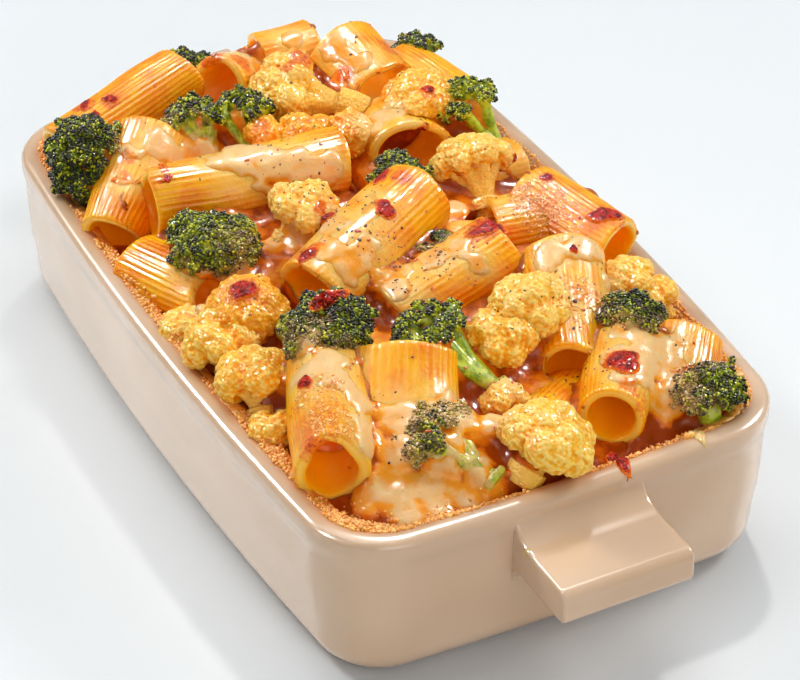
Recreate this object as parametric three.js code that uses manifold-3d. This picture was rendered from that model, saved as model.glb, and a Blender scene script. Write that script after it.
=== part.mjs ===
// Baked pasta in its own stoneware dish: ridged tubes of pasta, broccoli and
// cauliflower florets, bedded in a white sauce.
// Millimetres, +Z up. The origin is the middle of the dish's foot, +X runs to one
// handle, and +Y to the long side that the heap leans away from.
import * as THREE from 'three';
import { mergeVertices } from 'three/addons/utils/BufferGeometryUtils.js';
import Module from 'manifold-3d';

const wasm = await Module();
wasm.setup();

// ---------------------------------------------------------------- driving sizes

const GAP = 0.35; // clearance left between pieces that touch

const DISH = {
  halfLength: 113, // rim, at the corners
  halfWidth: 68.5,
  bowEnd: 1.3, // how far the middle of a short side swells outwards
  bowSide: 3.5, // the same for a long side
  corner: 22.5,
  height: 48.5,
  lip: 7.5, // width of the rounded rim
  footInset: 3.2, // how far the foot of the wall stands in from the rim
  footRound: 6.5, // width of the rounding round the foot
  floor: 6.5, // thickness of the bottom
  innerLean: 3.5, // how far the inner wall leans in on its way down
  coveRise: 7.5, // height of the hollow corner between wall and floor
  coveRun: 8, // and its width
};

const HANDLE = {
  width: 38.5,
  reach: 27, // beyond the rim
  top: 39.5,
  thickness: 10.5,
  tipRadius: 3,
  filletRise: 5, // the top sweeps up to the wall by this much
  filletRun: 8,
  edge: 1.6, // rounding of the side edges
  blendRun: 10, // length of the sweep from the wall to the handle's underside
  blendDrop: 5, // and its height
};

const PASTA = {
  wall: 1.7,
  ridges: 10,
  ridgeDepth: 0.4,
  spaceSides: 8, // faces of the plain space that a tube takes up
};

const FLORET = {
  broccoli: { depth: 0.3, roughness: 0.14 },
  cauliflower: { depth: 0.24, roughness: 0.06 },
  lobeSharpness: 6,
  stemTop: 0.5, // radii of the stem, as shares of the head's
  stemFoot: 0.28,
  smallHead: 8.5, // heads with a smaller radius than this have fewer faces
};

const BED = {
  edgeDrop: 5, // the filling's level at the wall, below the rim
  crown: 8, // how much higher it is in the middle
};

// Every piece that shows, from the top of the heap down. Each one is trimmed round
// the pieces that are listed before it. Tubes run from the middle of one mouth to
// the middle of the other; florets have the middle of the head and the foot. The
// third value of a place is its height over the rim.
const aboveRim = ([x, y, height]) => [x, y, DISH.height + height];
const tube = (name, from, to, width, height) =>
  ({ kind: 'tube', name, from: aboveRim(from), to: aboveRim(to), width, height });
const head = (kind) => (name, middle, foot, radius, squash, knobs) =>
  ({ kind, name, head: aboveRim(middle), foot: aboveRim(foot), radius, squash, knobs });
const broccoli = head('broccoli');
const cauliflower = head('cauliflower');

const PIECES = [
  broccoli('broccoli_crown_front', [43, -35, 20], [28, -42, 10], 13, 0.75, 7),
  broccoli('broccoli_long_stem', [58, -11, 20], [74, -4, 7], 12, 0.75, 6),
  cauliflower('cauliflower_cream_large', [56, 17, 15], [58, 12, 4], 9.5, 0.8, 5),
  cauliflower('cauliflower_cream_small', [61, 5, 12], [60, 11, 2], 8, 0.85, 4),
  cauliflower('cauliflower_middle', [-14, -16, 16], [-12, -25, 4], 10, 0.8, 5),
  tube('rigatone_centre', [16, -28, 9], [-4, 15, 16], 22, 20),
  tube('rigatone_centre_right', [30, -10, 2], [26, 26, 12], 21, 19),
  tube('rigatone_right_domed', [70, 20, 0], [37, 38, 12], 21, 19),
  tube('rigatone_front_left', [85, -57, 7], [46, -38, 9], 22, 20),
  tube('rigatone_front_curtain', [86, -37, -4], [58, -22, 14], 27, 17),
  broccoli('broccoli_front', [89, -22, 9], [102, -24, -1], 12, 0.9, 7),
  cauliflower('cauliflower_front', [101, -4, 7], [103, -12, -2], 13, 0.8, 8),
  tube('rigatone_front_right', [97, 18, 6], [69, 41, 4], 20, 18),
  broccoli('broccoli_right', [70, 40, 14], [60, 50, 8], 9, 0.8, 5),
  broccoli('broccoli_front_corner', [99, 48, 6], [103, 46, -2], 11, 0.75, 6),
  broccoli('broccoli_slip_right', [15, 10, 12], [11, 13, 4], 6.5, 0.8, 4),
  broccoli('broccoli_slip_left', [-23, 18, 14], [-31, 15, 4], 8, 0.7, 5),
  broccoli('broccoli_left', [-17, -42, 12], [-27, -32, 6], 13.5, 0.55, 6),
  tube('rigatone_left_long', [-43, -50, 9], [-36, 6, 10], 21, 19),
  cauliflower('cauliflower_left_round', [17, -48, 11], [19, -50, 0], 9.5, 0.85, 4),
  cauliflower('cauliflower_left_lower', [22, -59, 5], [28, -58, -3], 8.5, 0.85, 4),
  cauliflower('cauliflower_left_front', [41, -58, 5], [50, -60, -3], 9, 0.8, 5),
  tube('rigatone_right_far', [33, 60, 5], [0, 49, 8], 22, 20),
  tube('rigatone_mouth_up', [-34, 29, 8], [-58, 34, 2], 23, 18),
  broccoli('broccoli_far_right', [-39, 51, 15], [-32, 58, 1], 9.5, 1, 5),
  cauliflower('cauliflower_far_right', [-50, 41, 13], [-45, 42, 4], 11, 0.8, 5),
  cauliflower('cauliflower_far_large', [-72, 10, 14], [-62, 27, 8], 13.5, 0.8, 7),
  cauliflower('cauliflower_nub_left', [-56, -7, 12], [-62, -2, 4], 6, 0.8, 3),
  cauliflower('cauliflower_nub_middle', [-51, 3, 13], [-58, 8, 5], 7, 0.8, 3),
  cauliflower('cauliflower_nub_right', [-47, 15, 12], [-54, 20, 5], 7, 0.8, 3),
  cauliflower('cauliflower_branched', [-14, 41, 11], [-9, 42, 1], 11, 0.8, 5),
  tube('rigatone_under_dome', [6, 34, 3], [13, 58, 5], 20, 17),
  broccoli('broccoli_upright_left', [-65, -24, 19], [-64, -25, 6], 9, 0.7, 5),
  broccoli('broccoli_upright_right', [-61, -11, 19], [-62, -15, 6], 8.5, 0.7, 5),
  tube('rigatone_far_mouth', [-86, -8, 11], [-102, 14, -2], 20, 18),
  tube('rigatone_left_sauced', [-47, -60, -2], [-72, -36, 11], 20, 18),
  tube('rigatone_left_front', [-33, -58, -3], [-5, -48, -1], 20, 18),
  broccoli('broccoli_left_corner', [-73, -57, 9], [-88, -47, 0], 13, 1.1, 7),
  tube('rigatone_far_left', [-86, -59, 4], [-96, -15, 14], 20, 19),
  tube('rigatone_far_end', [-99, 11, 8], [-98, 29, 9], 18, 17),
  tube('rigatone_far_peak', [-88, 33, 15], [-69, 37, 9], 21, 17),
  tube('rigatone_far_side', [-81, 49, 6], [-56, 57, 4], 18, 16),
  broccoli('broccoli_far_end', [-98, -8, 14], [-98, -6, 6], 7, 0.8, 4),
  broccoli('broccoli_far_corner', [-82, 53, 12], [-76, 60, 3], 8.5, 0.8, 5),
  cauliflower('cauliflower_right_bright', [49, 52, 7], [50, 56, 0], 8, 0.75, 4),
  cauliflower('cauliflower_stem_wedge', [55, 58, 4], [60, 60, -1], 6, 0.7, 3),
  tube('rigatone_front_corner', [90, 41, -4], [73, 56, 2], 20, 16),
  tube('rigatone_right_low', [2, 22, -1], [12, 37, -1], 16, 14),
  tube('rigatone_far_low', [-24, 38, 2], [-27, 58, 0], 17, 14),
  tube('rigatone_front_low', [84, 6, -2], [72, 24, -5], 17, 14),
  cauliflower('cauliflower_left_pale', [3, -60, -1], [9, -56, -4], 6.5, 0.6, 3),
  cauliflower('cauliflower_cut_stem', [55, -59, 0], [50, -56, -3], 5.5, 0.7, 3),
  cauliflower('cauliflower_stem_front', [79, -3, 5], [82, -4, -1], 5.5, 0.9, 3),
];

// ---------------------------------------------------------------- finishes

const FINISH = {
  stoneware: { color: 0xe3d6c8, roughness: 0.22 },
  pasta: { color: 0xf0a63a, roughness: 0.4 },
  sauce: { color: 0xecd2a2, roughness: 0.35 },
  broccoli: { color: 0x4c6a1c, roughness: 0.7 },
  cauliflower: { color: 0xf3cf7c, roughness: 0.6 },
};

function finish(name) {
  return new THREE.MeshStandardMaterial({ name, metalness: 0, ...FINISH[name] });
}

// ---------------------------------------------------------------- solids

/** Repeatable random numbers, so that the heap is the same at every run. */
function seededRandom(text) {
  let state = 2166136261;
  for (const letter of text) {
    state = Math.imul(state ^ letter.charCodeAt(0), 16777619);
  }
  return () => {
    state = Math.imul(state ^ (state >>> 15), 2246822519) + 3266489917;
    state = Math.imul(state ^ (state >>> 13), 668265263);
    return ((state ^ (state >>> 16)) >>> 0) / 4294967296;
  };
}

/** The same geometry with one vertex wherever its faces meet, without other data. */
function welded(geometry, reach = 1e-4) {
  const bare = new THREE.BufferGeometry();
  bare.setAttribute('position', geometry.getAttribute('position').clone());
  bare.setIndex(geometry.index);
  return mergeVertices(bare, reach);
}

/** A closed three.js geometry as a Manifold with its faces turned outwards. */
function toSolid(geometry, reach = 1e-4) {
  const merged = welded(geometry, reach);
  const corners = [];
  for (let i = 0; i < merged.index.count; i += 3) {
    const [a, b, c] = [0, 1, 2].map((k) => merged.index.getX(i + k));
    if (a !== b && b !== c && c !== a) {
      corners.push(a, b, c);
    }
  }
  const vertProperties = new Float32Array(merged.getAttribute('position').array);
  const make = (triVerts) => new wasm.Manifold(
    new wasm.Mesh({ numProp: 3, vertProperties, triVerts: new Uint32Array(triVerts) }));
  const solid = make(corners);
  return solid.volume() > 0 ? solid : make(corners.reverse());
}

/** A Manifold as a three.js geometry. */
function toGeometry(solid) {
  const { vertProperties, triVerts } = solid.getMesh();
  const geometry = new THREE.BufferGeometry();
  geometry.setAttribute('position', new THREE.BufferAttribute(vertProperties, 3));
  geometry.setIndex(new THREE.BufferAttribute(triVerts, 1));
  return geometry;
}

/** A Manifold as a named mesh about its own middle, its slivers welded shut first. */
function toMesh(name, solid, material) {
  const geometry = toGeometry(largestBody(toSolid(toGeometry(solid), 4e-3)));
  geometry.computeBoundingBox();
  const middle = geometry.boundingBox.getCenter(new THREE.Vector3()).round();
  geometry.translate(-middle.x, -middle.y, -middle.z);
  geometry.computeVertexNormals();
  const mesh = new THREE.Mesh(geometry, material);
  mesh.name = name;
  mesh.position.copy(middle);
  return mesh;
}

/** The biggest body of a solid that trimming may have left in several. */
function largestBody(solid) {
  const bodies = solid.decompose();
  return bodies.reduce((best, body) => (body.volume() > best.volume() ? body : best));
}

/** A turn and shift that lay the Z axis from one point towards another, Y upmost. */
function layAlong(from, to) {
  const start = new THREE.Vector3(...from);
  const along = new THREE.Vector3(...to).sub(start).normalize();
  const across = new THREE.Vector3(0, 0, 1).cross(along);
  if (across.lengthSq() < 1e-6) {
    across.set(1, 0, 0);
  }
  across.normalize();
  const upmost = new THREE.Vector3().crossVectors(along, across);
  return new THREE.Matrix4().makeBasis(across, upmost, along).setPosition(start);
}

// ---------------------------------------------------------------- dish

const AXIS = DISH.halfWidth; // inset of the profile points in the middle of the dish
const LAST_RING = DISH.corner - 2.5; // inset up to which the rings follow the rim

/** Rim points in plan, with bowed sides and round corners, and their outward normals. */
function rimOutline() {
  const { halfLength: x, halfWidth: y, corner: r, bowEnd, bowSide } = DISH;
  const plan = new THREE.Shape();
  plan.moveTo(x, -(y - r));
  plan.quadraticCurveTo(x + 2 * bowEnd, 0, x, y - r);
  plan.absarc(x - r, y - r, r, 0, Math.PI / 2);
  plan.quadraticCurveTo(0, y + 2 * bowSide, -(x - r), y);
  plan.absarc(-(x - r), y - r, r, Math.PI / 2, Math.PI);
  plan.quadraticCurveTo(-x - 2 * bowEnd, 0, -x, -(y - r));
  plan.absarc(-(x - r), -(y - r), r, Math.PI, 1.5 * Math.PI);
  plan.quadraticCurveTo(0, -y - 2 * bowSide, x - r, -y);
  plan.absarc(x - r, -(y - r), r, 1.5 * Math.PI, 2 * Math.PI);
  const points = plan.getPoints(4).slice(0, -1);
  return points.map((point, i) => {
    const before = points.at(i - 1);
    const after = points[(i + 1) % points.length];
    const normal = new THREE.Vector2(after.y - before.y, before.x - after.x).normalize();
    return { point, normal };
  });
}

/**
 * A lathed profile bent round the rim's plan. Its points are insets from the rim and
 * levels. Further in than the last ring, the plan shrinks towards the dish's middle.
 */
function roundTheDish(profile) {
  const outline = rimOutline();
  const geometry = new THREE.LatheGeometry(
    profile.map(([, level], i) => new THREE.Vector2(i + 1, level)), outline.length);
  const position = geometry.getAttribute('position');
  for (let i = 0; i < position.count; i += 1) {
    const [inset, level] = profile[i % profile.length];
    const { point, normal } = outline[Math.floor(i / profile.length) % outline.length];
    const offset = Math.min(inset, LAST_RING);
    const shrink = 1 - (inset - offset) / (AXIS - LAST_RING);
    const x = (point.x - normal.x * offset) * shrink;
    const y = (point.y - normal.y * offset) * shrink;
    position.setXYZ(i, x, y, level);
  }
  return toSolid(geometry);
}

/**
 * The dish's cross-section, from the middle of the foot over the lip to the floor,
 * with its inside and the top of its lip moved out by a clearance.
 */
function dishProfile(grow = 0) {
  const { height, lip, footInset, footRound, floor, innerLean, coveRise, coveRun } = DISH;
  const inner = lip + innerLean;
  return [
    [AXIS, 0],
    [footInset + footRound, 0],
    [footInset + 0.45 * footRound, 0.2 * footRound],
    [footInset + 0.1 * footRound, 0.6 * footRound],
    [footInset - 0.4, 1.4 * footRound],
    [0.3, height - lip],
    [0, height - 0.5 * lip],
    [0.1 * lip, height - 0.16 * lip],
    [0.35 * lip, height + grow],
    [0.63 * lip, height + grow],
    [0.9 * lip + grow, height - 0.16 * lip],
    [lip + grow, height - 0.5 * lip],
    [inner + grow, floor + coveRise],
    [inner + 0.38 * coveRun + grow, floor + 0.33 * coveRise + grow],
    [inner + coveRun, floor + grow],
    [AXIS, floor + grow],
  ];
}

/** One slab handle, drawn from the side and pushed out across its width. */
function handle(side) {
  const { width, reach, top, thickness, tipRadius: r, filletRise, filletRun } = HANDLE;
  const { edge, blendRun, blendDrop } = HANDLE;
  const wall = DISH.halfLength + DISH.bowEnd;
  const root = wall - 0.7 * DISH.lip;
  const tip = DISH.halfLength + reach;
  const low = top - thickness;
  const section = new THREE.Shape();
  section.moveTo(root, low - blendDrop);
  section.lineTo(wall - 1.5, low - blendDrop);
  section.quadraticCurveTo(wall + 0.3 * blendRun, low, wall + blendRun, low);
  section.lineTo(tip - r, low);
  section.absarc(tip - r, low + r, r, -Math.PI / 2, 0);
  section.lineTo(tip, top - r);
  section.absarc(tip - r, top - r, r, 0, Math.PI / 2);
  section.lineTo(wall + filletRun, top);
  section.quadraticCurveTo(wall, top, wall - 0.5, top + filletRise);
  section.lineTo(root, top + filletRise);
  const geometry = new THREE.ExtrudeGeometry(section, {
    depth: width - 2 * edge,
    curveSegments: 3,
    bevelThickness: edge,
    bevelSize: edge,
    bevelOffset: -edge,
    bevelSegments: 1,
  });
  geometry.rotateX(Math.PI / 2);
  geometry.translate(0, width / 2 - edge, 0);
  geometry.rotateZ(side > 0 ? 0 : Math.PI);
  return toSolid(geometry);
}

/** The dish with both handles, hollow down to its floor. */
function dish() {
  const inside = roundTheDish([
    [AXIS, DISH.floor],
    ...dishProfile().slice(8, -1).reverse(),
    [AXIS, DISH.height],
  ]);
  const handles = handle(1).add(handle(-1)).subtract(inside);
  return roundTheDish(dishProfile()).add(handles);
}

// ---------------------------------------------------------------- pasta

/** The points of an oval, every second one set in by a groove. */
function ovalPoints(width, height, count, groove = 0) {
  return Array.from({ length: count }, (_, i) => {
    const angle = (i / count) * 2 * Math.PI;
    const inset = i % 2 === 0 ? 0 : groove;
    return new THREE.Vector2(
      (width / 2 - inset) * Math.cos(angle), (height / 2 - inset) * Math.sin(angle));
  });
}

/** A section drawn out from one place to another, and past both by the overrun. */
function drawOut(section, from, to, overrun) {
  const length = new THREE.Vector3(...to).distanceTo(new THREE.Vector3(...from));
  const depth = length + 2 * overrun;
  const geometry = new THREE.ExtrudeGeometry(section, { depth, bevelEnabled: false });
  geometry.translate(0, 0, -overrun);
  geometry.applyMatrix4(layAlong(from, to));
  return toSolid(geometry);
}

/** A tube with ridges along it and both mouths open. */
function pastaTube({ from, to, width, height }) {
  const { wall, ridges, ridgeDepth } = PASTA;
  const section = new THREE.Shape(ovalPoints(width, height, 2 * ridges, ridgeDepth));
  section.holes.push(new THREE.Path(ovalPoints(width - 2 * wall, height - 2 * wall, ridges)));
  return drawOut(section, from, to, 0);
}

/** The whole space that a tube takes up, its bore too, with clearance round it. */
function tubeSpace({ from, to, width, height }) {
  const { spaceSides } = PASTA;
  const spread = 1 / Math.cos(Math.PI / spaceSides);
  const section = new THREE.Shape(
    ovalPoints((width + 2 * GAP) * spread, (height + 2 * GAP) * spread, spaceSides));
  return drawOut(section, from, to, GAP);
}

// ---------------------------------------------------------------- florets

/** A head of lobes: a ball that swells towards each of its knobs. */
function floretHead({ kind, name, head, radius, squash, knobs }, clearance) {
  const { depth, roughness } = FLORET[kind];
  const [across, down] = radius < FLORET.smallHead ? [8, 5] : [10, 6];
  const random = seededRandom(name);
  const lobes = Array.from({ length: knobs }, (_, i) => {
    const turn = ((i + 0.6 * random()) / knobs) * 2 * Math.PI;
    return new THREE.Vector3(Math.cos(turn), Math.sin(turn), random() - 0.2).normalize();
  });
  lobes.push(new THREE.Vector3(0, 0, 1));
  const geometry = welded(new THREE.SphereGeometry(1, across, down));
  const position = geometry.getAttribute('position');
  for (let i = 0; i < position.count; i += 1) {
    const ray = new THREE.Vector3().fromBufferAttribute(position, i);
    const nearest = Math.max(...lobes.map((lobe) => lobe.dot(ray)));
    const valley = 1 - Math.max(nearest, 0) ** FLORET.lobeSharpness;
    const swell = 1 - depth * valley + roughness * (random() - 0.5);
    ray.multiplyScalar(radius * swell + clearance);
    position.setXYZ(i, ray.x, ray.y, ray.z * squash);
  }
  geometry.translate(...head);
  return toSolid(geometry);
}

/** A lobed head on a stem that widens towards it. */
function floret(piece, clearance = 0) {
  const { head: top, foot, radius } = piece;
  const { stemTop, stemFoot } = FLORET;
  const length = new THREE.Vector3(...top).distanceTo(new THREE.Vector3(...foot));
  const stem = new THREE.CylinderGeometry(
    stemTop * radius + clearance, stemFoot * radius + clearance, length + clearance, 6);
  stem.rotateX(Math.PI / 2);
  stem.translate(0, 0, (length - clearance) / 2);
  stem.applyMatrix4(layAlong(foot, top));
  return toSolid(stem).add(floretHead(piece, clearance));
}

// ---------------------------------------------------------------- filling

/** The sauce and hidden pasta under the top layer, out to the dish's inner wall. */
function filling() {
  const { lip, height } = DISH;
  const edge = height - BED.edgeDrop;
  const inside = dishProfile(GAP).slice(-4).reverse();
  return roundTheDish([
    ...inside,
    [lip + GAP, edge],
    [lip + 9, edge + 0.35 * BED.crown],
    [lip + 26, edge + 0.8 * BED.crown],
    [lip + 42, edge + 0.95 * BED.crown],
    [AXIS, edge + BED.crown],
  ]);
}

// ---------------------------------------------------------------- the whole

const group = new THREE.Group();
group.name = 'baked_pasta';
group.add(toMesh('dish', dish(), finish('stoneware')));

const floretSpace = (piece) => floret(piece, GAP);
const food = {
  tube: { form: pastaTube, space: tubeSpace, material: finish('pasta') },
  broccoli: { form: floret, space: floretSpace, material: finish('broccoli') },
  cauliflower: { form: floret, space: floretSpace, material: finish('cauliflower') },
};
const taken = [roundTheDish(dishProfile(GAP))];
const trimmed = (solid) => largestBody(taken.reduce((rest, space) => rest.subtract(space), solid));
for (const piece of PIECES) {
  const { form, space, material } = food[piece.kind];
  group.add(toMesh(piece.name, trimmed(form(piece)), material));
  taken.push(space(piece));
}
taken.shift();
group.add(toMesh('sauce_filling', trimmed(filling()), finish('sauce')));

export default group;
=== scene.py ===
"""A baked pasta in its stoneware dish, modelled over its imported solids.

Ridged tubes of pasta, broccoli and cauliflower florets lie heaped in a white sauce. Places
and sizes are in millimetres, in the row frame, until a mesh takes them in metres. Heights
of the heap's pieces are over the dish's rim, as they are in the solids.
"""
import logging
import math
from dataclasses import dataclass, field
from enum import Enum

import bpy
import numpy as np
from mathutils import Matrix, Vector
from mathutils.bvhtree import BVHTree


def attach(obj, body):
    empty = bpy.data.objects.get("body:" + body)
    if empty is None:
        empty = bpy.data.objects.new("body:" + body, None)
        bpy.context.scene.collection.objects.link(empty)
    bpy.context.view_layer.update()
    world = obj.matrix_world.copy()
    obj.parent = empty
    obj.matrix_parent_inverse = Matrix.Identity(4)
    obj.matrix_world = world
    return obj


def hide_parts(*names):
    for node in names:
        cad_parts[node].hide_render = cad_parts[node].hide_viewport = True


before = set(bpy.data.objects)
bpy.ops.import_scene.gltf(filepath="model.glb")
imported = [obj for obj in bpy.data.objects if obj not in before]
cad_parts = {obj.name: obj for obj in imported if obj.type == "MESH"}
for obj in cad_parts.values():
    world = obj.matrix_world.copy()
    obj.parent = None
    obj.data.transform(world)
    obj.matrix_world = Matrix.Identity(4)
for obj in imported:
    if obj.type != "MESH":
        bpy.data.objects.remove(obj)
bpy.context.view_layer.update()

LOG = logging.getLogger("baked_pasta")
MM = 0.001
RIM = 48.5
POURED_SEED, BROWNED_SEED = 11, 23
DOWN = np.array([0.0, 0.0, -1.0])
Point = tuple[float, float, float]
Colour = tuple[float, float, float]


# ------------------------------------------------------------------ small tools


def srgb(red: float, green: float, blue: float) -> Colour:
    """Turns a colour of 0 to 255 steps into the linear one that shaders take.

    Args:
        red: Red, 0 to 255.
        green: Green, 0 to 255.
        blue: Blue, 0 to 255.

    Returns:
        The linear colour.
    """
    steps = (red / 255, green / 255, blue / 255)
    return tuple(c / 12.92 if c <= 0.04045 else ((c + 0.055) / 1.055) ** 2.4 for c in steps)


def over_rim(place: Point) -> np.ndarray:
    """A place whose third value is its height over the dish's rim, in the row frame."""
    return np.array([place[0], place[1], RIM + place[2]])


def unit(vector: np.ndarray) -> np.ndarray:
    """The vector at length 1."""
    return vector / np.linalg.norm(vector)


def basis(along: np.ndarray) -> np.ndarray:
    """Axes whose third column runs along a direction and whose second is the upmost one.

    Args:
        along: The direction.

    Returns:
        A 3 by 3 matrix with the axes as its columns.
    """
    along = unit(along)
    across = np.cross([0.0, 0.0, 1.0], along)
    across = unit(across) if np.linalg.norm(across) > 1e-4 else np.array([1.0, 0.0, 0.0])
    return np.stack([across, np.cross(along, across), along], axis=1)


def ease(value: np.ndarray) -> np.ndarray:
    """A smooth step from 0 at 0 to 1 at 1."""
    value = np.clip(value, 0.0, 1.0)
    return value * value * (3.0 - 2.0 * value)


def ripple(points: np.ndarray, wavelength: float, seed: int) -> np.ndarray:
    """Smooth, repeatable unevenness, mostly between -1.5 and 1.5.

    Args:
        points: Places in millimetres, one in each row.
        wavelength: Size of the unevenness in millimetres.
        seed: Chooses the pattern.

    Returns:
        One value for each place.
    """
    waves = 9
    random = np.random.default_rng(seed)
    total = np.zeros(len(points))
    for _ in range(waves):
        direction = unit(random.normal(size=3))
        turn = 2 * math.pi / (wavelength * random.uniform(0.7, 1.5))
        total += np.sin(points @ direction * turn + random.uniform(0, 2 * math.pi))
    return total / math.sqrt(waves)


def number_of(name: str) -> int:
    """A repeatable seed from a piece's name."""
    return sum((i + 7) * ord(letter) for i, letter in enumerate(name)) % 100003


# ------------------------------------------------------------------ mesh tools


@dataclass
class Shape:
    """Points and triangles or quads that aren't an object yet."""

    points: np.ndarray
    faces: np.ndarray

    def triangles(self) -> np.ndarray:
        """The faces as triangles."""
        if self.faces.shape[1] == 3:
            return self.faces
        return np.concatenate([self.faces[:, [0, 1, 2]], self.faces[:, [0, 2, 3]]])


def together(shapes: list[Shape]) -> Shape:
    """Several shapes as one of triangles."""
    starts = np.cumsum([0] + [len(shape.points) for shape in shapes[:-1]])
    faces = [shape.triangles() + start for shape, start in zip(shapes, starts)]
    return Shape(np.concatenate([shape.points for shape in shapes]), np.concatenate(faces))


def to_object(name: str, shape: Shape) -> bpy.types.Object:
    """Makes a mesh object of a shape.

    Args:
        name: The object's name.
        shape: Its points, in millimetres, and faces.

    Returns:
        The object, at the origin.
    """
    mesh = bpy.data.meshes.new(name)
    mesh.vertices.add(len(shape.points))
    mesh.vertices.foreach_set("co", (shape.points * MM).astype(np.float32).ravel())
    mesh.loops.add(shape.faces.size)
    mesh.loops.foreach_set("vertex_index", shape.faces.astype(np.int32).ravel())
    mesh.polygons.add(len(shape.faces))
    starts = np.arange(0, shape.faces.size, shape.faces.shape[1], dtype=np.int32)
    mesh.polygons.foreach_set("loop_start", starts)
    mesh.update(calc_edges=True)
    piece = bpy.data.objects.new(name, mesh)
    bpy.context.scene.collection.objects.link(piece)
    return piece


def from_lists(name: str, points: list[list[float]], faces: list[tuple[int, ...]]) -> bpy.types.Object:
    """Makes a mesh object of points in millimetres and faces of any number of corners."""
    mesh = bpy.data.meshes.new(name)
    mesh.from_pydata([[MM * value for value in point] for point in points], [], faces)
    piece = bpy.data.objects.new(name, mesh)
    bpy.context.scene.collection.objects.link(piece)
    return piece


def activate(piece: bpy.types.Object) -> None:
    """Selects one object alone and makes it the active one."""
    bpy.ops.object.select_all(action="DESELECT")
    piece.select_set(True)
    bpy.context.view_layer.objects.active = piece


def modify(piece: bpy.types.Object, kind: str, **settings: object) -> None:
    """Adds a modifier and applies it.

    Args:
        piece: The object.
        kind: The modifier's type.
        **settings: Its settings.
    """
    activate(piece)
    bpy.ops.object.modifier_add(type=kind)
    modifier = piece.modifiers[-1]
    for name, value in settings.items():
        setattr(modifier, name, value)
    bpy.ops.object.modifier_apply(modifier=modifier.name)


def points_of(piece: bpy.types.Object) -> np.ndarray:
    """An object's points in millimetres."""
    flat = np.empty(3 * len(piece.data.vertices), dtype=np.float32)
    piece.data.vertices.foreach_get("co", flat)
    return flat.reshape(-1, 3).astype(float) / MM


def normals_of(piece: bpy.types.Object) -> np.ndarray:
    """The directions that an object's points face."""
    flat = np.empty(3 * len(piece.data.vertices), dtype=np.float32)
    piece.data.vertex_normals.foreach_get("vector", flat)
    return flat.reshape(-1, 3).astype(float)


def move_points(piece: bpy.types.Object, points: np.ndarray) -> None:
    """Puts an object's points at new places, given in millimetres."""
    piece.data.vertices.foreach_set("co", (points * MM).astype(np.float32).ravel())
    piece.data.update()


def store(piece: bpy.types.Object, name: str, values: np.ndarray) -> None:
    """Keeps one number for each of an object's points, for its material to read."""
    layer = piece.data.attributes.get(name)
    if layer is None:
        layer = piece.data.attributes.new(name, "FLOAT", "POINT")
    layer.data.foreach_set("value", values.astype(np.float32))


def stored(piece: bpy.types.Object, name: str) -> np.ndarray:
    """The numbers kept for an object's points under a name."""
    values = np.empty(len(piece.data.vertices), dtype=np.float32)
    piece.data.attributes[name].data.foreach_get("value", values)
    return values


def hollowness(piece: bpy.types.Object, passes: int = 2) -> np.ndarray:
    """How far each point lies below its neighbours, in millimetres, below 0 on crests."""
    edges = np.empty(2 * len(piece.data.edges), dtype=np.int32)
    piece.data.edges.foreach_get("vertices", edges)
    ends = edges.reshape(-1, 2)
    both, other = np.concatenate([ends[:, 0], ends[:, 1]]), np.concatenate([ends[:, 1], ends[:, 0]])
    start = points_of(piece)
    links = np.maximum(np.bincount(both, minlength=len(start)), 1)[:, None]
    mean = start
    for _ in range(passes):
        sums = [np.bincount(both, weights=mean[other, k], minlength=len(start)) for k in range(3)]
        mean = np.stack(sums, 1) / links
    return np.einsum("ij,ij->i", mean - start, normals_of(piece))


def merge_into_one(name: str, pieces: list[bpy.types.Object]) -> bpy.types.Object:
    """Joins objects to one mesh under a new name."""
    bpy.ops.object.select_all(action="DESELECT")
    for piece in pieces:
        piece.select_set(True)
    bpy.context.view_layer.objects.active = pieces[0]
    bpy.ops.object.join()
    pieces[0].name = pieces[0].data.name = name
    return pieces[0]


def face_outwards(piece: bpy.types.Object) -> None:
    """Merges points that lie on each other and turns all faces outwards."""
    activate(piece)
    bpy.ops.object.mode_set(mode="EDIT")
    bpy.ops.mesh.select_all(action="SELECT")
    bpy.ops.mesh.remove_doubles(threshold=1e-6)
    bpy.ops.mesh.normals_make_consistent(inside=False)
    bpy.ops.mesh.select_all(action="DESELECT")
    bpy.ops.object.mode_set(mode="OBJECT")


def smooth_shade(piece: bpy.types.Object, angle: float | None = None) -> None:
    """Shades an object smooth, with an angle only where its faces meet flatter than that."""
    activate(piece)
    if angle is None:
        bpy.ops.object.shade_smooth()
    else:
        bpy.ops.object.shade_smooth_by_angle(angle=math.radians(angle))


def take(piece: bpy.types.Object) -> Shape:
    """An object's points and faces as a shape, with the object removed."""
    points = points_of(piece)
    count = len(piece.data.polygons)
    corners = len(piece.data.loops) // count
    flat = np.empty(count * corners, dtype=np.int32)
    piece.data.loops.foreach_get("vertex_index", flat)
    bpy.data.objects.remove(piece)
    return Shape(points, flat.reshape(count, corners))


def ball(detail: int) -> Shape:
    """A ball of triangles of radius 1."""
    bpy.ops.mesh.primitive_ico_sphere_add(subdivisions=detail, radius=MM)
    return take(bpy.context.active_object)


def rolled(name: str, around: int, along: int) -> bpy.types.Object:
    """A closed ring of quads to be shaped into the wall of a tube.

    Args:
        name: The object's name.
        around: Number of faces round the tube.
        along: Number of faces once over the wall, outside, mouth, inside and mouth.

    Returns:
        The ring. Point i * along + j is step j over the wall at step i round the tube.
    """
    bpy.ops.mesh.primitive_torus_add(
        major_segments=around, minor_segments=along, major_radius=0.01, minor_radius=0.003,
        generate_uvs=False)
    ring = bpy.context.active_object
    ring.name = ring.data.name = name
    return ring


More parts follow.
